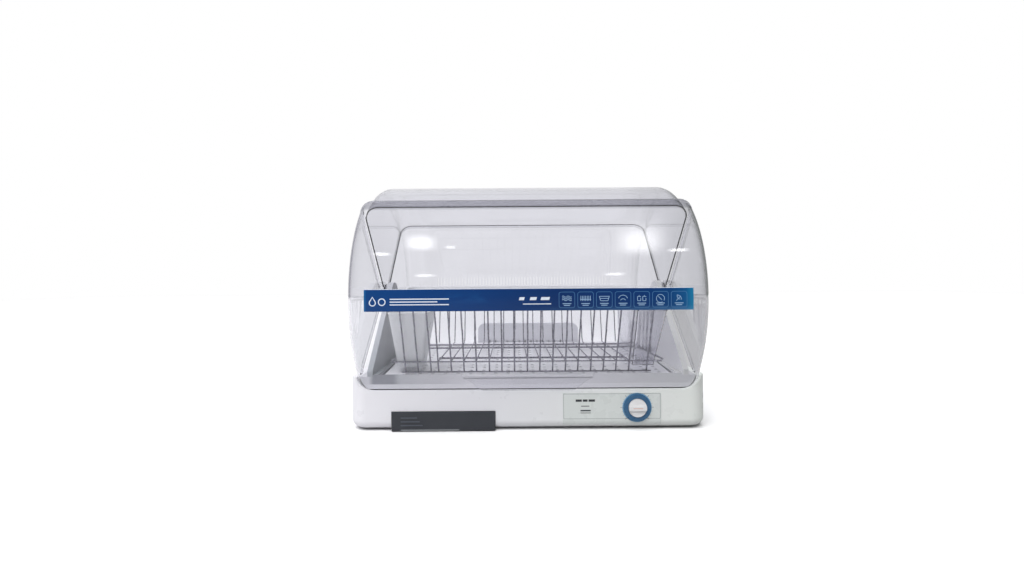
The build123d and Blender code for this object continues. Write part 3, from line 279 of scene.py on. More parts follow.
def painted_shade_lip_plastic():
    """The front cover: clear, with its top lip painted grey as painted shade, for the darkening seen through
    the thicker moulding and the cover behind it.
    """
    paint = clear("painted_shade_lip_plastic", srgb(250, 250, 252), density=9.0)
    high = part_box("front_cover")[1]
    # Painted shade: a grey band across the top of the lip.
    lip = paint.along("Z", high.z - 17 * MM, high.z - 13 * MM)
    smoke = paint.math("MULTIPLY", lip, 0.75)
    return paint.drive("Base Color", paint.blend(smoke, paint.base_color(), srgb(180, 180, 188)))


def top_plastic():
    """The fixed top cover: clear with a little more grey than the front cover."""
    return clear("top_plastic", srgb(241, 241, 244), density=11.0)


def smoky_plastic():
    smoke = (0.45, 0.45, 0.5, 1.0)
    return clear("smoky_plastic", srgb(240, 240, 244), density=4.0, roughness=0.06, absorb=smoke)


def milky_plastic():
    """Translucent natural polypropylene: a pale satin skin that shows shapes behind it faintly."""
    paint = moulded("milky_plastic", srgb(252, 253, 254), 0.3, grain=0.0008, shade=0.99)
    paint.let_through(0.22, srgb(236, 238, 240))
    return paint


def white_plastic():
    """Off-white satin plastic, a little cooler on the left and warmer on the right, and lighter at its left
    end as painted light from the left.
    """
    paint = moulded("white_plastic", srgb(222, 222, 225), 0.32, grain=0.003, relief=0.000003)
    # Painted light: the left end is lighter, as if lit from the left; the ramp also tints the left cooler
    # and the right warmer.
    tone = paint.ramp(
        paint.along("X", cad_low.x, cad_high.x),
        (0.0, srgb(231, 230, 234)),
        (0.35, srgb(221, 221, 225)),
        (1.0, srgb(226, 230, 225)),
    )
    return clouded(paint, tone, srgb(196, 194, 188), 0.02)


def tower_plastic():
    """The tower on the shaded side, a painted-shade copy of the white plastic: grey that deepens towards its
    rear and its foot.
    """
    paint = moulded("tower_plastic", srgb(190, 190, 196), 0.35)
    low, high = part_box("left_tower")
    # Painted shade: darkest at the foot, lighter towards the top.
    tall = paint.ramp(
        paint.along("Z", low.z, high.z),
        (0.0, srgb(152, 157, 162)),
        (0.5, srgb(180, 182, 187)),
        (1.0, srgb(214, 214, 218)),
    )
    # Painted shade that deepens towards the rear, broken by faint clouds.
    back = paint.math("MULTIPLY", paint.along("Y", low.y, high.y), 0.6)
    cloud = paint.spread(paint.noise(0.05, detail=4.0), 0.85, 1.0)
    deep = paint.math("MULTIPLY", back, cloud)
    return paint.drive("Base Color", paint.blend(deep, tall, srgb(142, 147, 154)))


def painted_light_tower_finish():
    """The tower on the lit side, a painted-light copy of the white plastic: bright side walls and greyer
    narrow edges, painted light and shade by which way each face points.
    """
    paint = moulded("painted_light_tower_finish", srgb(252, 252, 252), 0.34, shade=0.985)
    normal = paint.node("ShaderNodeNewGeometry").outputs["True Normal"]
    # Painted light and shade: faces turned along X get the bright colour, the narrow edges the grey.
    painted_light_by_facing = paint.math("ABSOLUTE", paint.part(normal, "X"))
    return paint.drive("Base Color", paint.blend(painted_light_by_facing, srgb(190, 191, 190), paint.base_color()))


def lining_plastic():
    """The bright rear lining that the warm air rises along."""
    return moulded("lining_plastic", srgb(252, 252, 253), 0.4, relief=0.000004, shade=0.985)


RIM_STEP_Z = 68.5 * MM


def deck_plastic():
    """Deck under the rack: pale grey, greyer at both ends, with a deeper grey area on the upper rim near its
    left end as painted shade.
    """
    paint = moulded("deck_plastic", srgb(206, 205, 210), 0.36, shade=0.98)
    low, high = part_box("inner_deck")
    across = paint.along("X", low.x, high.x)
    tone = paint.ramp(
        across,
        (0.0, srgb(196, 196, 202)),
        (0.16, srgb(198, 199, 203)),
        (0.2, srgb(206, 205, 210)),
        (0.6, srgb(204, 203, 209)),
        (1.0, srgb(186, 187, 189)),
    )
    # Painted shade: a dark area on the upper rim near the left end, above the rim step.
    painted_shade_area = paint.mask(
        across, (0.028, 0), (0.042, 1), (0.1, 1), (0.118, 0.45), (0.165, 0.3), (0.24, 0.25), (0.32, 0)
    )
    upper = paint.along("Z", RIM_STEP_Z, RIM_STEP_Z + 0.5 * MM)
    with_painted_shade = paint.blend(paint.math("MULTIPLY", painted_shade_area, upper), tone, srgb(128, 130, 137))
    return clouded(paint, with_painted_shade, srgb(176, 176, 180), 0.05, size=0.04, detail=3.0)


def plate_plastic():
    """The perforated plate: white plastic that greys a little towards the right."""
    paint = moulded("plate_plastic", srgb(222, 222, 226), 0.34, relief=0.000004)
    low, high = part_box("drain_plate")
    tone = paint.ramp(
        paint.along("X", low.x, high.x),
        (0.0, srgb(230, 230, 234)),
        (0.3, srgb(222, 222, 226)),
        (0.65, srgb(200, 200, 205)),
        (1.0, srgb(196, 196, 200)),
    )
    return clouded(paint, tone, srgb(182, 182, 186), 0.04)


def panel_plastic():
    """Pale grey-green printed sheet."""
    paint = moulded("panel_plastic", srgb(210, 215, 212), 0.28, grain=0.0004, relief=0.000008, shade=0.996)
    return paint.set(Coat_Weight=0.25, Coat_Roughness=0.15)


def knob_plastic():
    return moulded("knob_plastic", srgb(226, 226, 226), 0.25, grain=0.0005, relief=0.00001)


def ring_plastic():
    """Glossy sea-blue ring."""
    paint = moulded("ring_plastic", srgb(42, 92, 130), 0.25, grain=0.0005, relief=0.00001, shade=0.9)
    return paint.set(Coat_Weight=0.3, Coat_Roughness=0.1)


def tray_plastic():
    return moulded("tray_plastic", srgb(50, 53, 59), 0.38, grain=0.0007, relief=0.00004, shade=0.92)


def hood_plastic():
    return moulded("hood_plastic", srgb(226, 226, 232), 0.4, shade=0.98)


def bush_plastic():
    return moulded("bush_plastic", srgb(198, 198, 202), 0.35)


def duct_plastic():
    return moulded("duct_plastic", srgb(70, 72, 76), 0.5, shade=0.9)


def fuse_glass():
    return moulded("fuse_glass", srgb(206, 196, 170), 0.2)


# ================= metals, rubber, foam and print =================

def rack_wire():
    """Bright steel wire with drawing lines and dull spots."""
    paint = Paint("rack_wire")
    mottled(paint, srgb(158, 156, 168), 0.8, size=0.006)
    paint.set(Metallic=1.0)
    lines = paint.noise(0.0012, detail=3.0, stretch=(1, 1, 0.06))
    paint.drive("Roughness", paint.spread(lines, 0.16, 0.34))
    return paint.bump(lines, 0.00001)


def steel():
    """Zinc-plated steel with fine turning marks."""
    paint = Paint("steel")
    mottled(paint, srgb(168, 170, 174), 0.85, size=0.003)
    paint.set(Metallic=1.0)
    marks = paint.noise(0.0008, detail=4.0, stretch=(0.1, 1, 1))
    paint.drive("Roughness", paint.spread(marks, 0.22, 0.42))
    return paint.bump(marks, 0.00001)


def foot_rubber():
    """Dark rubber with dust in its pores."""
    paint = Paint("foot_rubber")
    dust = paint.noise(0.0015, detail=6.0)
    paint.drive("Base Color", paint.ramp(dust, (0.4, srgb(52, 52, 55)), (0.75, srgb(88, 87, 86))))
    paint.drive("Roughness", paint.spread(dust, 0.7, 0.95))
    return paint.bump(dust, 0.00005)


def duct_metal():
    """Galvanised sheet with a soft spangle."""
    paint = Paint("duct_metal")
    cells = paint.node("ShaderNodeTexVoronoi")
    cells.inputs["Scale"].default_value = 140.0
    paint.link(paint.place, cells.inputs["Vector"])
    grey = paint.node("ShaderNodeRGBToBW")
    paint.link(cells.outputs["Color"], grey.inputs[0])
    spangle = grey.outputs[0]
    paint.drive("Base Color", paint.ramp(spangle, (0.2, srgb(150, 154, 158)), (0.8, srgb(186, 189, 192))))
    paint.drive("Roughness", paint.spread(spangle, 0.3, 0.5, 0.2, 0.8))
    return paint.set(Metallic=1.0)


def heater_fins():
    """Bare aluminium fins, slightly browned by heat."""
    paint = Paint("heater_fins")
    heat = paint.noise(0.012, detail=4.0)
    paint.drive("Base Color", paint.ramp(heat, (0.35, srgb(168, 158, 146)), (0.7, srgb(196, 197, 198))))
    paint.drive("Roughness", paint.spread(heat, 0.3, 0.5))
    return paint.set(Metallic=1.0)


def filter_foam():
    """Open-cell foam."""
    paint = Paint("filter_foam")
    cells = paint.node("ShaderNodeTexVoronoi", feature="DISTANCE_TO_EDGE")
    cells.inputs["Scale"].default_value = 900.0
    paint.link(paint.place, cells.inputs["Vector"])
    pores = cells.outputs["Distance"]
    paint.drive("Base Color", paint.ramp(pores, (0.02, srgb(92, 94, 98)), (0.3, srgb(38, 39, 42))))
    paint.set(Roughness=0.95)
    return paint.bump(pores, 0.0006)


def label_film():
    """Printed blue film: deep navy, a light sweep in its upper middle, brighter towards both ends."""
    paint = Paint("label_film")
    low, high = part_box("label_strip")
    across = paint.along("X", low.x, high.x)
    up = paint.along("Z", low.z, high.z)
    ends = paint.ramp(
        across,
        (0.0, srgb(24, 104, 158)),
        (0.008, srgb(0, 62, 124)),
        (0.3, srgb(0, 56, 116)),
        (0.6, srgb(0, 44, 98)),
        (0.85, srgb(0, 50, 106)),
        (0.93, srgb(4, 62, 116)),
        (0.975, srgb(6, 80, 134)),
        (1.0, srgb(24, 122, 164)),
    )
    # A soft light streak that fades out along the strip.
    streak = paint.noise(0.03, detail=4.0, stretch=(0.35, 1, 2.2), distortion=1.2)
    height = paint.mask(up, (0.3, 0), (0.62, 1), (0.85, 0))
    length = paint.mask(across, (0.12, 0), (0.33, 1), (0.56, 0))
    sweep = paint.math("MULTIPLY", height, length)
    glow = paint.math("MULTIPLY", sweep, paint.spread(streak, 0.0, 1.0, 0.45, 0.75))
    lit = paint.blend(paint.math("MULTIPLY", glow, 0.4), ends, srgb(30, 104, 168))
    # The lower edge turns lighter and greyer to the right.
    foot = paint.mask(up, (0.0, 1), (0.22, 0))
    right = paint.mask(across, (0.45, 0), (0.95, 1))
    edge = paint.math("MULTIPLY", paint.math("MULTIPLY", foot, right), 0.35)
    paint.drive("Base Color", paint.blend(edge, lit, srgb(96, 150, 190)))
    paint.set(IOR=1.5, Specular_IOR_Level=0.25, Coat_Weight=0.1, Coat_Roughness=0.08)
    dust = paint.noise(0.002, detail=5.0)
    paint.drive("Roughness", paint.spread(dust, 0.3, 0.42))
    return paint.bump(paint.noise(0.05, detail=1.0), 0.00002)


def ink(name, colour):
    """Screen-printed ink, slightly uneven in tone and gloss."""
    paint = Paint(name)
    mottled(paint, colour, 0.94, size=0.003)
    speck = paint.noise(0.0008, detail=3.0)
    paint.drive("Roughness", paint.spread(speck, 0.35, 0.55))
    return paint.bump(speck, 0.000005).material


# ================= finishes =================

SLOTS = {
    "clear_plastic": clear_plastic,
    "label_film": label_film,
    "white_plastic": white_plastic,
    "panel_plastic": panel_plastic,
    "knob_plastic": knob_plastic,
    "ring_plastic": ring_plastic,
    "tray_plastic": tray_plastic,
    "hood_plastic": hood_plastic,
    "milky_plastic": milky_plastic,
    "smoky_plastic": smoky_plastic,
    "rack_wire": rack_wire,
    "steel": steel,
    "bush_plastic": bush_plastic,
    "foot_rubber": foot_rubber,
    "duct_plastic": duct_plastic,
    "duct_metal": duct_metal,
    "heater_fins": heater_fins,
    "fuse_glass": fuse_glass,
    "filter_foam": filter_foam,
}
finishes = {slot: make().material for slot, make in SLOTS.items()}

for node in nodes.values():
    for material_slot in node.material_slots:
        base_name = material_slot.material.name.split(".")[0]
        material_slot.material = finishes[base_name]

OWN_FINISHES = {
    "front_cover": painted_shade_lip_plastic,
    "top_cover": top_plastic,
    "rear_lining": lining_plastic,
    "left_tower": tower_plastic,
    "right_tower": painted_light_tower_finish,
    "inner_deck": deck_plastic,
    "drain_plate": plate_plastic,
}
for name, make in OWN_FINISHES.items():
    own_finish = make().material
    for material_slot in nodes[name].material_slots:
        material_slot.material = own_finish


# ================= mesh helpers =================

def piece(name, bm, material, body, smooth=True):
    """A finished mesh object that rides on a body."""
    bmesh.ops.recalc_face_normals(bm, faces=bm.faces)
    mesh = bpy.data.meshes.new(name)
    bm.to_mesh(mesh)
    bm.free()
    mesh.polygons.foreach_set("use_smooth", [smooth] * len(mesh.polygons))
    made = bpy.data.objects.new(name, mesh)
    bpy.context.scene.collection.objects.link(made)
    made.data.materials.append(material)
    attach(made, body)
    return made


def sharp_edges(made, angle=35.0):
    """Smooth shading that keeps edges sharper than an angle crisp."""
    made.data.set_sharp_from_angle(angle=radians(angle))
    return made


def tube(bm, path, radius, sides=12, closed=False):
    """A round wire along a list of points; open ends are domed."""
    points = [Vector(p) for p in path]
    count = len(points)
    rings = []
    normal = None
    for i, point in enumerate(points):
        before = points[i - 1] if i or closed else point
        after = points[(i + 1) % count] if i < count - 1 or closed else point
        along = (after - before).normalized()
        if normal is None:
            seed = Vector((0, 0, 1)) if abs(along.z) < 0.9 else Vector((1, 0, 0))
            normal = along.cross(seed).normalized()
        normal = (normal - along * normal.dot(along)).normalized()
        side = along.cross(normal)
        rings.append((point, along, normal.copy(), side))

    def ring(centre, normal, side, size):
        turns = [2 * pi * k / sides for k in range(sides)]
        return [bm.verts.new(centre + (normal * cos(t) + side * sin(t)) * size) for t in turns]

    loops = []
    if not closed:
        point, along, normal, side = rings[0]
        for back, size in ((0.95, 0.3), (0.7, 0.7)):
            loops.append(ring(point - along * radius * back * 0.5, normal, side, radius * size))
    for point, along, normal, side in rings:
        loops.append(ring(point, normal, side, radius))
    if not closed:
        point, along, normal, side = rings[-1]
        for ahead, size in ((0.7, 0.7), (0.95, 0.3)):
            loops.append(ring(point + along * radius * ahead * 0.5, normal, side, radius * size))
    pairs = list(zip(loops, loops[1:]))
    if closed:
        pairs.append((loops[-1], loops[0]))
    for first, second in pairs:
        for k in range(sides):
            n = (k + 1) % sides
            bm.faces.new((first[k], first[n], second[n], second[k]))
    if not closed:
        bm.faces.new(loops[0])
        bm.faces.new(list(reversed(loops[-1])))


def rounded_path(corners, radius, steps=6):
    """Points along straight runs whose corners are rounded by arcs of a radius."""
    corners = [Vector(c) for c in corners]
    path = [corners[0]]
    for before, corner, after in zip(corners, corners[1:], corners[2:]):
        into = (before - corner).normalized()
        out = (after - corner).normalized()
        half = into.angle(out) / 2
        reach = radius / max(0.001, sin(half)) * cos(half)
        reach = min(reach, (before - corner).length * 0.45, (after - corner).length * 0.45)
        start = corner + into * reach
        end = corner + out * reach
        for k in range(steps + 1):
            t = k / steps
            path.append(start * (1 - t) ** 2 + corner * 2 * t * (1 - t) + end * t ** 2)
    path.append(corners[-1])
    return path


PRINTED = (0, 0.05 * MM)


def ribbon(bm, path, width, place, lift=PRINTED, closed=False, across=1):
    """A flat printed stroke along 2-D points. place(u, v, lift) puts it on the object's surface."""
    count = len(path)
    steps = [2 * k / across - 1 for k in range(across + 1)]
    columns = []
    for i, (u, v) in enumerate(path):
        before = path[i - 1] if i or closed else path[i]
        after = path[(i + 1) % count] if i < count - 1 or closed else path[i]
        along = Vector((after[0] - before[0], after[1] - before[1])).normalized()
        side = Vector((-along.y, along.x)) * width / 2
        columns.append([(u + side.x * s, v + side.y * s) for s in steps])
    low = [[bm.verts.new(place(u, v, lift[0])) for u, v in column] for column in columns]
    high = [[bm.verts.new(place(u, v, lift[1])) for u, v in column] for column in columns]
    pairs = [(i, i + 1) for i in range(count - 1)]
    if closed:
        pairs.append((count - 1, 0))
    for i, n in pairs:
        for k in range(across):
            bm.faces.new((high[i][k], high[n][k], high[n][k + 1], high[i][k + 1]))
            bm.faces.new((low[i][k], low[i][k + 1], low[n][k + 1], low[n][k]))
        bm.faces.new((low[i][0], low[n][0], high[n][0], high[i][0]))
        bm.faces.new((low[i][-1], high[i][-1], high[n][-1], low[n][-1]))
    if not closed:
        for i in (0, count - 1):
            for k in range(across):
                bm.faces.new((low[i][k], high[i][k], high[i][k + 1], low[i][k + 1]))


def segment(start, end, pitch=0.002):
    """Points along a straight 2-D line, no more than a pitch apart."""
    length = hypot(end[0] - start[0], end[1] - start[1])
    steps = max(1, ceil(length / pitch))
    return [
        (start[0] + (end[0] - start[0]) * k / steps, start[1] + (end[1] - start[1]) * k / steps)
        for k in range(steps + 1)
    ]


def chain(*corners):
    """Straight 2-D lines through corners."""
    path = []
    for start, end in zip(corners, corners[1:]):
        path += segment(start, end)[:-1]
    return path + [corners[-1]]


def arc(centre, radius, start, end, steps=24):
    """Points along a 2-D arc, angles in degrees."""
    turns = [radians(start + (end - start) * k / steps) for k in range(steps + 1)]
    return [(centre[0] + radius * cos(t), centre[1] + radius * sin(t)) for t in turns]


def rounded_square(centre, half_w, half_h, radius):
    """Closed outline of a rounded rectangle, its last point left off."""
    path = []
    for sx, sy, start in ((1, 1, 0), (-1, 1, 90), (-1, -1, 180), (1, -1, 270)):
        corner = (centre[0] + sx * (half_w - radius), centre[1] + sy * (half_h - radius))
        turn = arc(corner, radius, start, start + 90, 6)
        if path:
            path += segment(path[-1], turn[0])[1:-1]
        path += turn
    path += segment(path[-1], path[0])[1:-1]
    return path


# ================= label strip =================

LABEL_LOW, LABEL_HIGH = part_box("label_strip")
LABEL_R = PIVOT.y - LABEL_LOW.y
FILM_GAP = 0.05 * MM
FILM_T = 0.3 * MM
LABEL_SPAN = (asin((LABEL_LOW.z - PIVOT.z) / LABEL_R), asin((LABEL_HIGH.z - PIVOT.z) / LABEL_R))
LABEL_MID = sum(LABEL_SPAN) / 2
LABEL_HALF_H = (LABEL_SPAN[1] - LABEL_SPAN[0]) / 2 * LABEL_R
FILM_R = LABEL_R - 0.4 * MM + FILM_GAP


def on_label(u, v, lift):
    """A point on the strip: u along X, v up the curve from its middle, lift off its face."""
    turn = LABEL_MID + v / LABEL_R
    radius = FILM_R + FILM_T + lift
    return Vector((u, PIVOT.y - radius * cos(turn), PIVOT.z + radius * sin(turn)))


def label_strip():
    """The curved film, in place of its plain solid, and a pale line along its upper edge as a painted
    highlight.
    """
    bm = bmesh.new()
    ribbon(
        bm,
        segment((LABEL_LOW.x, 0), (LABEL_HIGH.x, 0), 0.004),
        2 * LABEL_HALF_H,
        on_label,
        lift=(-FILM_T, 0.0),
        across=16,
    )
    made = sharp_edges(piece("label_film_print", bm, finishes["label_film"], "front_cover"))
    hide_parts("label_strip")
    # Painted highlight: a pale line along the film's upper edge, where a lamp is mirrored.
    bm = bmesh.new()
    highlight_v = LABEL_HALF_H - 0.35 * MM
    edge = segment((LABEL_LOW.x, highlight_v), (LABEL_HIGH.x, highlight_v), 0.004)
    ribbon(bm, edge, 0.7 * MM, on_label)
    piece("label_edge_highlight", bm, white_ink, "front_cover")


ICON_PITCH = 25.9 * MM
ICON_FIRST = 53.0 * MM
ICON_HALF = 10.9 * MM
ICON_V = -0.9 * MM
STROKE = 0.8 * MM
FINE = 0.6 * MM


def glyph_heat(c):
    """Three wavy lines of warm air."""
    x, v = c
    waves = []
    for row in (4.6, 2.2, -0.2):
        line = [(x + (k - 12) * 0.55 * MM, v + row * MM + 0.9 * MM * sin(k * pi / 6)) for k in range(25)]
        waves.append(line)
    return waves


def glyph_rack(c):
    """Plates standing in a rack."""
    x, v = c
    bars = [chain((x + k * 2.2 * MM, v - 1.5 * MM), (x + k * 2.2 * MM, v + 5.5 * MM)) for k in range(-3, 4)]
    return bars + [chain((x - 7.6 * MM, v + 0.6 * MM), (x + 7.6 * MM, v + 0.6 * MM))]


def glyph_basket(c):
    """A basket with two rows."""
    x, v = c
    sides = chain(
        (x - 7 * MM, v + 5 * MM),
        (x - 5 * MM, v - 1.5 * MM),
        (x + 5 * MM, v - 1.5 * MM),
        (x + 7 * MM, v + 5 * MM),
    )
    rows = [chain((x - w * MM, v + h * MM), (x + w * MM, v + h * MM)) for w, h in ((6.8, 4.6), (6, 1.8))]
    return [sides] + rows


def glyph_dome(c):
    """A domed cover over a line of air."""
    x, v = c
    return [arc((x, v - 0.5 * MM), 6.6 * MM, 20, 160), arc((x, v - 3 * MM), 4 * MM, 30, 150)]


def glyph_bottles(c):
    """Two bottles side by side."""
    x, v = c
    shapes = []
    for side in (-3.6, 3.6):
        shapes.append(rounded_square((x + side * MM, v + 1.2 * MM), 2.2 * MM, 3 * MM, 0.8 * MM))
        shapes.append(chain((x + side * MM, v + 4.4 * MM), (x + side * MM, v + 6 * MM)))
    return shapes


def glyph_timer(c):
    """A dial with its hand."""
    x, v = c
    dial = arc((x, v + 1.2 * MM), 5.6 * MM, -30, 300)
    hand = chain((x, v + 1.2 * MM), (x - 2.8 * MM, v + 4 * MM))
    return [dial, hand, chain((x, v + 1.2 * MM), (x + 2.2 * MM, v - 0.8 * MM))]


def glyph_leaf(c):
    """A leaf over a line."""
    x, v = c
    lower = arc((x - 2.2 * MM, v + 0.4 * MM), 5.2 * MM, -12, 78)
    upper = arc((x + 2.4 * MM, v + 5 * MM), 5.2 * MM, 168, 258)
    return [lower + upper, chain((x - 4 * MM, v - 2 * MM), (x + 1.6 * MM, v + 3.6 * MM))]


def label_icons():
    """Seven framed pictograms and the plain bars under them."""
    bm = bmesh.new()
    frames = bmesh.new()
    glyphs = (glyph_heat, glyph_rack, glyph_basket, glyph_dome, glyph_bottles, glyph_timer, glyph_leaf)
    for k, glyph in enumerate(glyphs):
        centre = (ICON_FIRST + k * ICON_PITCH, ICON_V)
        ribbon(frames, rounded_square(centre, ICON_HALF, ICON_HALF, 3 * MM), FINE, on_label, closed=True)
        for stroke in glyph(centre):
            ribbon(bm, stroke, STROKE, on_label)
        for row, width in ((-5.2, 6.0), (-7.6, 4.2)):
            v = centre[1] + row * MM
            line = chain((centre[0] - width * MM, v), (centre[0] + width * MM, v))
            ribbon(bm, line, 1.1 * MM, on_label)
    piece("label_pictograms", bm, light_ink, "front_cover", smooth=False)
    piece("label_frames", frames, blue_ink, "front_cover", smooth=False)


def label_marks():
    """A drop, a ring and plain bars at the left; slanted bars left of the pictograms."""
    bm = bmesh.new()
    x0 = LABEL_LOW.x + 6 * MM
    v = -2.3 * MM
    drop = arc((x0 + 6 * MM, v - 1 * MM), 4.2 * MM, -200, 20, 30) + [(x0 + 6 * MM, v + 7 * MM)]
    ribbon(bm, drop, 1.4 * MM, on_label, closed=True)
    ribbon(bm, arc((x0 + 19 * MM, v), 4.6 * MM, 0, 345, 30), 1.4 * MM, on_label, closed=True)
    for row, start, end in ((3.9, 30, 112), (0, 30, 96), (-3.9, 30, 112)):
        line = segment((x0 + start * MM, v + row * MM), (x0 + end * MM, v + row * MM), 0.003)
        ribbon(bm, line, 1.5 * MM, on_label)
    bar_v = 1.2 * MM

    def slanted(u, v, lift):
        """A point on the strip that leans to the right as it rises."""
        return on_label(u + (v - bar_v) * 0.3, v, lift)

    for k, length in enumerate((7.0, 9.0, 12.0)):
        start = (-13 + k * 15) * MM
        line = segment((start, bar_v), (start + length * MM, bar_v), 0.003)
        ribbon(bm, line, 4.2 * MM, slanted, across=3)
    line = segment((-8 * MM, -6.2 * MM), (31 * MM, -6.2 * MM), 0.003)
    ribbon(bm, line, 1.3 * MM, on_label)
    piece("label_marks", bm, white_ink, "front_cover", smooth=False)


white_ink = ink("white_ink", srgb(226, 234, 244))
light_ink = ink("light_ink", srgb(150, 184, 216))
blue_ink = ink("blue_ink", srgb(74, 124, 172))
dark_ink = ink("dark_ink", srgb(48, 50, 54))
grey_ink = ink("grey_ink", srgb(132, 136, 138))
sky_ink = ink("sky_ink", srgb(92, 158, 200))
# Painted highlight: the lighter grey of the tray's ribs.
rib_highlight_ink = ink("rib_highlight_ink", srgb(78, 83, 92))
orange_ink = ink("orange_ink", srgb(214, 168, 150))

label_strip()
label_icons()
label_marks()


# ================= control panel =================

PANEL_LOW, PANEL_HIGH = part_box("control_panel")
KNOB = middle("knob_ring")
RING_OUTER = (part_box("knob_ring")[1].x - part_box("knob_ring")[0].x) / 2
PANEL_FOOT = 8 * MM
OUTLINE_INSET = 1.2 * MM


def on_panel(u, v, lift):
    """A point on the panel's flat face: X, Z and how far it stands proud."""
    return Vector((u, PANEL_LOW.y - lift, v))


def panel_outline():
    """A fine printed line just inside the panel's edge."""
    bm = bmesh.new()
    centre = ((PANEL_LOW.x + PANEL_HIGH.x) / 2, (PANEL_LOW.z + PANEL_FOOT + PANEL_HIGH.z) / 2)
    half_w = (PANEL_HIGH.x - PANEL_LOW.x) / 2 - OUTLINE_INSET
    half_h = (PANEL_HIGH.z - PANEL_LOW.z - PANEL_FOOT) / 2 - OUTLINE_INSET
    ribbon(bm, rounded_square(centre, half_w, half_h, 1 * MM), 0.5 * MM, on_panel, closed=True)
    piece("panel_outline", bm, grey_ink, "root", smooth=False)


def panel_bars():
    """Plain bars in place of writing."""
    bm = bmesh.new()
    left = PANEL_LOW.x + 19 * MM
    top = PANEL_HIGH.z - 11 * MM
    for start, width in ((0, 9.0), (10.5, 7.0), (19.0, 9.5)):
        line = segment((left + start * MM, top), (left + (start + width) * MM, top))
        ribbon(bm, line, 3.4 * MM, on_panel)
    for row, start, end, thick in ((-8.2, 8, 20, 1.1), (-14.8, 7, 22, 2.0), (-18.2, 7, 22, 0.9)):
        line = segment((left + start * MM, top + row * MM), (left + end * MM, top + row * MM))
        ribbon(bm, line, thick * MM, on_panel)
    piece("panel_bars", bm, dark_ink, "root", smooth=False)


def dial_marks():
    """Ticks round the timer dial and a fine blue halo against its ring."""
    bm = bmesh.new()
    for angle in range(-60, 241, 15):
        long = angle % 45 == 0
        inner = RING_OUTER + 1.6 * MM
        outer = inner + (3.0 if long else 1.6) * MM
        turn = radians(angle)
        start = (KNOB.x + inner * cos(turn), KNOB.z + inner * sin(turn))
        end = (KNOB.x + outer * cos(turn), KNOB.z + outer * sin(turn))
        if start[1] > PANEL_LOW.z + 9 * MM and end[1] < PANEL_HIGH.z - 1 * MM:
            ribbon(bm, segment(start, end), (0.7 if long else 0.45) * MM, on_panel)
    piece("dial_ticks", bm, grey_ink, "root", smooth=False)
    bm = bmesh.new()
    glow = arc((KNOB.x, KNOB.z), RING_OUTER + 0.8 * MM, 0, 352, 44)
    ribbon(bm, glow, 1.2 * MM, on_panel, closed=True)
    piece("dial_halo", bm, sky_ink, "root", smooth=False)


def knob_mark():
    """A fine warm line printed on the knob's finger grip."""
    bm = bmesh.new()
    face_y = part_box("timer_knob")[0].y

    def on_knob(u, v, lift):
        return Vector((u, face_y - lift, v))

    line = segment((KNOB.x - 7 * MM, KNOB.z), (KNOB.x + 7 * MM, KNOB.z))
    ribbon(bm, line, 0.9 * MM, on_knob)
    piece("knob_line", bm, orange_ink, "timer_knob", smooth=False)


panel_outline()
panel_bars()
dial_marks()
knob_mark()


# ================= drip tray face =================

def tray_ribs():
    """Three raised finger ribs at the left of the tray's face, their lighter grey a painted highlight where
    their tops catch the light, and a line along its foot.
    """
    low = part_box("drip_tray")[0]

    def on_tray(u, v, lift):
        return Vector((u, low.y - lift, v))

    bm = bmesh.new()
    # Painted highlight: the ribs are drawn lighter than the tray.
    for k in range(3):
        z = low.z + (8.5 + 5.5 * k) * MM
        line = segment((low.x + 14 * MM, z), (low.x + (46 - 4 * k) * MM, z))
        ribbon(bm, line, 1.6 * MM, on_tray, lift=(-0.05 * MM, 0.5 * MM))
    piece("tray_ribs", bm, rib_highlight_ink, "drip_tray", smooth=False)
    bm = bmesh.new()
    z = low.z + 1.6 * MM
    line = segment((low.x + 14 * MM, z), (low.x + 100 * MM, z))
    ribbon(bm, line, 1.8 * MM, on_tray, lift=(-0.05 * MM, 0.3 * MM))
    piece("tray_foot_line", bm, grey_ink, "drip_tray", smooth=False)


tray_ribs()


# ================= wire rack =================

WIRE_R = 1.2 * MM
THIN_WIRE_R = 0.95 * MM
FOOT_REACH = 8.0 * MM
FOOT_END = 6.0 * MM
HOOK_R = 2.6 * MM
RIM_LOW, RIM_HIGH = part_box("rack_rim")
RIM_WIRE_R = (RIM_HIGH.z - RIM_LOW.z) / 2
RACK_FLOOR_LOW, RACK_FLOOR_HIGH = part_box("rack_floor_bars")
RACK_FRONT_LOW, RACK_FRONT_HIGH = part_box("rack_front_bars")
RACK_REAR_LOW, RACK_REAR_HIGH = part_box("rack_rear_bars")
BAR_PITCH = 19.5
MAIN_BARS = [(k - 7) * BAR_PITCH * MM for k in range(16)]
END_BARS = [-187.5 * MM, -168.0 * MM, -148.5 * MM, 184.0 * MM]
# Where the long wires cross the floor bars, in millimetres behind the pivot.
CROSSINGS = (-76, 35, 77)
FRONT_CROSSING = -113.6


def wavered(points, seed):
    """Hand-bent wire is never dead straight: each run bows by a few tenths of a millimetre."""
    bowed = []
    for k, point in enumerate(points):
        swing = sin(seed * 2.3 + k * 0.9) * 0.25 * MM
        bowed.append(Vector(point) + Vector((swing, 0, 0)))
    return bowed


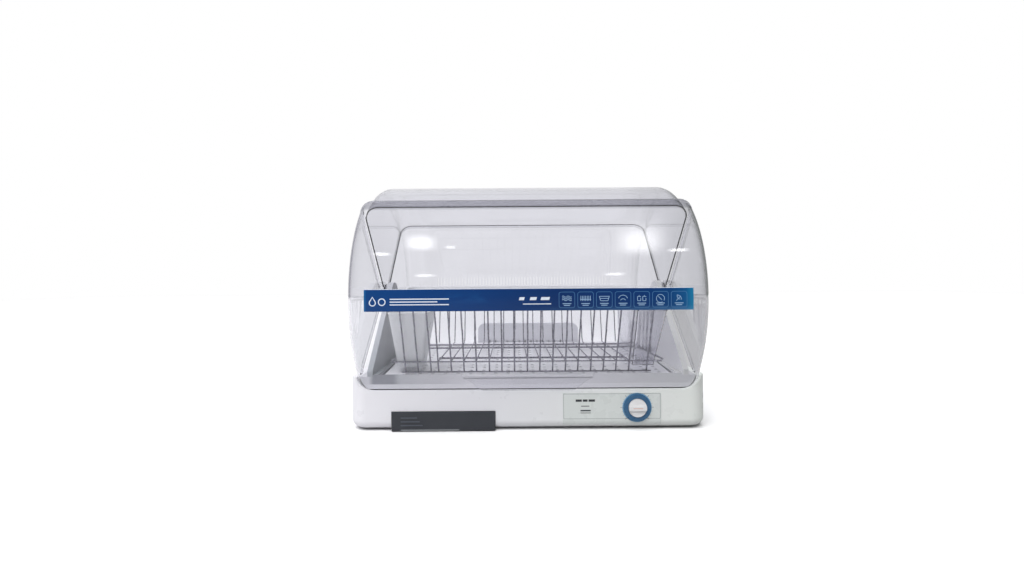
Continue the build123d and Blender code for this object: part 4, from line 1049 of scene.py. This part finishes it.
def rack_fronts():
    """Front bars: hooked over the rim wire and down the slope to one long foot wire above the plate."""
    bm = bmesh.new()
    rim_y = RIM_LOW.y + RIM_WIRE_R
    rim_z = RIM_HIGH.z - RIM_WIRE_R
    foot = Vector((0, RACK_FRONT_HIGH.y - WIRE_R * 1.2 - FOOT_REACH, RACK_FRONT_LOW.z + WIRE_R * 1.4))
    for k, x in enumerate(MAIN_BARS + END_BARS):
        corners = [
            (x, rim_y + HOOK_R, rim_z + 0.4 * MM),
            (x, foot.y + (rim_y + HOOK_R - foot.y) * 0.62, foot.z + (rim_z - foot.z) * 0.62),
            (x, foot.y, foot.z),
        ]
        tube(bm, wavered(rounded_path(corners, 30 * MM, 10), k), WIRE_R)
    ends = (min(END_BARS) - FOOT_END, max(END_BARS) + FOOT_END)
    tube(bm, [Vector((x, foot.y - WIRE_R, foot.z)) for x in ends], WIRE_R)
    made = piece("rack_front_wires", bm, finishes["rack_wire"], "dish_rack")
    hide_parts("rack_front_bars")


def rack_floors():
    """Floor bars that turn up at the rear in one bend and reach the rim."""
    bm = bmesh.new()
    z = (RACK_FLOOR_LOW.z + RACK_FLOOR_HIGH.z) / 2
    front = RACK_FLOOR_LOW.y + THIN_WIRE_R
    heel = RACK_FLOOR_HIGH.y - 1.5 * MM
    top_y = RACK_REAR_HIGH.y - 1.6 * MM
    top_z = RACK_REAR_HIGH.z - 1.2 * MM
    for k, x in enumerate(MAIN_BARS):
        corners = [(x, front, z), (x, heel, z), (x, top_y, top_z)]
        tube(bm, wavered(rounded_path(corners, 9 * MM, 8), k + 40), THIN_WIRE_R)
    for k, x in enumerate(END_BARS):
        low_y = RACK_REAR_LOW.y + 1.6 * MM
        corners = [(x, low_y, z), (x, (low_y + top_y) / 2, (z + top_z) / 2), (x, top_y, top_z)]
        tube(bm, wavered(corners, k + 70), THIN_WIRE_R)
    made = piece("rack_floor_wires", bm, finishes["rack_wire"], "dish_rack")
    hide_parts("rack_floor_bars", "rack_rear_bars")


def weld_bead(bm, centre, radius):
    """A small flattened drop of metal where two wires are welded."""
    bead = bmesh.ops.create_icosphere(bm, subdivisions=2, radius=radius)
    for vert in bead["verts"]:
        vert.co = centre + Vector((vert.co.x, vert.co.y * 0.9, vert.co.z * 0.75))


def rack_welds():
    """Weld beads along the rim and where the floor wires cross."""
    bm = bmesh.new()
    rim_front = RIM_LOW.y + RIM_WIRE_R
    rim_rear = RIM_HIGH.y - RIM_WIRE_R
    rim_z = (RIM_LOW.z + RIM_HIGH.z) / 2
    long_low, long_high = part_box("rack_long_wires")
    wire_z = (long_low.z + long_high.z) / 2
    for x in MAIN_BARS + END_BARS:
        weld_bead(bm, Vector((x, rim_front + 1.9 * MM, rim_z)), 1.7 * MM)
        weld_bead(bm, Vector((x, rim_rear - 1.9 * MM, rim_z)), 1.7 * MM)
    for x in MAIN_BARS:
        for y in CROSSINGS:
            weld_bead(bm, Vector((x, PIVOT.y + y * MM, wire_z + 1.3 * MM)), 1.5 * MM)
        weld_bead(bm, Vector((x, PIVOT.y + FRONT_CROSSING * MM, wire_z + 0.4 * MM)), 1.6 * MM)
    piece("rack_weld_beads", bm, finishes["rack_wire"], "dish_rack")


rack_fronts()
rack_floors()
rack_welds()


# ================= box rims =================

BEAD_R = 1.5 * MM
BEAD_OVERLAP = 0.8 * MM


def box_rim(box, slot):
    """A rounded bead round the mouth of a box."""
    low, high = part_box(box)
    bm = bmesh.new()
    centre = ((low.x + high.x) / 2, (low.y + high.y) / 2)
    half_w = (high.x - low.x) / 2 - BEAD_OVERLAP
    half_d = (high.y - low.y) / 2 - BEAD_OVERLAP
    outline = rounded_square(centre, half_w, half_d, 5 * MM)
    tube(bm, [(x, y, high.z - BEAD_R) for x, y in outline], BEAD_R, sides=10, closed=True)
    piece(box + "_rim", bm, finishes[slot], box)


box_rim("cutlery_box", "milky_plastic")
box_rim("accessory_box", "smoky_plastic")


# ================= stage, lights and camera =================

FLOOR_HALF = 6.0
CAMERA_AT = Vector((-0.025, -0.8439, 0.2227))
CAMERA_LENS = 16.61
CAMERA_ROLL = -0.4
CAMERA_SHIFT = (0.0015, -0.0078)
SENSOR_WIDTH = 36.0
SUN_STRENGTH = 2.85
SUN_TILT = 26.0
SUN_TURN = -15
SUN_SPREAD = 50
# Soft bright spots in the room that the curved covers mirror: X, reach, Z, reach, strength.
WINDOW_GLINTS = (
    (-0.185, 0.045, 0.80, 0.120, 6.5),
    (0.265, 0.065, 0.78, 0.220, 5.5),
    (-0.262, 0.022, 0.66, 0.030, 10.0),
    (0.335, 0.025, 0.67, 0.030, 10.0),
    (-0.125, 0.018, 0.76, 0.030, 5.0),
    (-0.178, 0.030, 0.36, 0.035, 6.0),
    (0.215, 0.030, 0.36, 0.035, 6.0),
)


def floor():
    """The floor: near white to the camera, and darker towards the right in what it bounces back."""
    bm = bmesh.new()
    bmesh.ops.create_grid(bm, x_segments=24, y_segments=24, size=FLOOR_HALF)
    mesh = bpy.data.meshes.new("floor")
    bm.to_mesh(mesh)
    bm.free()
    made = bpy.data.objects.new("floor", mesh)
    bpy.context.scene.collection.objects.link(made)
    paint = Paint("floor")
    pale = paint.ramp(paint.noise(0.4), (0.3, (0.93, 0.93, 0.93, 1)), (0.7, (0.95, 0.95, 0.95, 1)))
    seen = paint.node("ShaderNodeLightPath").outputs["Is Camera Ray"]
    bounced = paint.ramp(
        paint.along("X", -0.5, 0.5),
        (0.0, (0.8, 0.8, 0.81, 1)),
        (0.45, (0.62, 0.62, 0.63, 1)),
        (1.0, (0.42, 0.42, 0.42, 1)),
    )
    paint.drive("Base Color", paint.blend(seen, bounced, pale))
    paint.set(Roughness=0.9, Specular_IOR_Level=0.1)
    mesh.materials.append(paint.material)


def world():
    """White to the camera; grey all round for what the plastic and the metal mirror."""
    made = bpy.data.worlds.new("studio")
    bpy.context.scene.world = made
    sky = Nodes(made)
    output = sky.node("ShaderNodeOutputWorld")
    white = sky.node("ShaderNodeBackground")
    white.inputs["Color"].default_value = (1, 1, 1, 1)
    white.inputs["Strength"].default_value = 1.0
    room = sky.node("ShaderNodeBackground")
    direction = sky.node("ShaderNodeTexCoord").outputs["Generated"]

    def wall(axis, *stops):
        """Brightness along one direction; each stop is (direction, colour)."""
        shift = sky.math("MULTIPLY_ADD", sky.part(direction, axis), 0.5, 0.5)
        return sky.ramp(shift, *(((at + 1) / 2, colour) for at, colour in stops))

    def falloff(axis, centre, reach):
        """1 in the middle of a band of directions, fading to 0 at its edges."""
        away = sky.math("ABSOLUTE", sky.math("SUBTRACT", sky.part(direction, axis), centre))
        return sky.spread(away, 1.0, 0.0, 0.0, reach, interpolation_type="SMOOTHERSTEP")

    depth = wall("Y", (-0.7, (0.30, 0.30, 0.32, 1)), (0.5, (0.90, 0.90, 0.925, 1)))
    sides = wall(
        "X",
        (-0.75, (0.42, 0.42, 0.45, 1)),
        (-0.30, (1, 1, 1, 1)),
        (0.22, (1, 1, 1, 1)),
        (0.55, (0.26, 0.27, 0.26, 1)),
    )
    shade = sky.blend(1.0, depth, sides, mode="MULTIPLY")
    glow = 0.0
    in_front = sky.math("LESS_THAN", sky.part(direction, "Y"), 0)
    for across, reach_x, up, reach_z, strength in WINDOW_GLINTS:
        spot = sky.math("MULTIPLY", falloff("X", across, reach_x), falloff("Z", up, reach_z))
        lamp = sky.math("MULTIPLY", sky.math("MULTIPLY", spot, in_front), strength)
        glow = sky.math("ADD", glow, lamp)
    sky.link(sky.blend(1.0, shade, glow, mode="ADD"), room.inputs["Color"])
    seen = sky.node("ShaderNodeLightPath").outputs["Is Camera Ray"]
    sky.mix_shaders(seen, room, white, output)


def sun():
    """Soft light from high in front."""
    light = bpy.data.lights.new("soft_sun", "SUN")
    light.energy = SUN_STRENGTH
    light.angle = radians(SUN_SPREAD)
    made = bpy.data.objects.new("soft_sun", light)
    made.rotation_euler = (radians(SUN_TILT), radians(SUN_TURN), 0)
    made.visible_glossy = False
    made.visible_transmission = False
    bpy.context.scene.collection.objects.link(made)


def camera():
    """The camera, level in front of the object and rolled slightly about its line of sight."""
    data = bpy.data.cameras.new("camera")
    data.lens = CAMERA_LENS
    data.sensor_width = SENSOR_WIDTH
    data.shift_x, data.shift_y = CAMERA_SHIFT
    data.clip_start = 0.01
    data.clip_end = 100
    made = bpy.data.objects.new("camera", data)
    made.matrix_world = (
        Matrix.Translation(CAMERA_AT)
        @ Matrix.Rotation(radians(90), 4, "X")
        @ Matrix.Rotation(radians(CAMERA_ROLL), 4, "Z")
    )
    bpy.context.scene.collection.objects.link(made)
    bpy.context.scene.camera = made


bpy.context.scene.view_settings.view_transform = "Standard"
floor()
world()
sun()
camera()
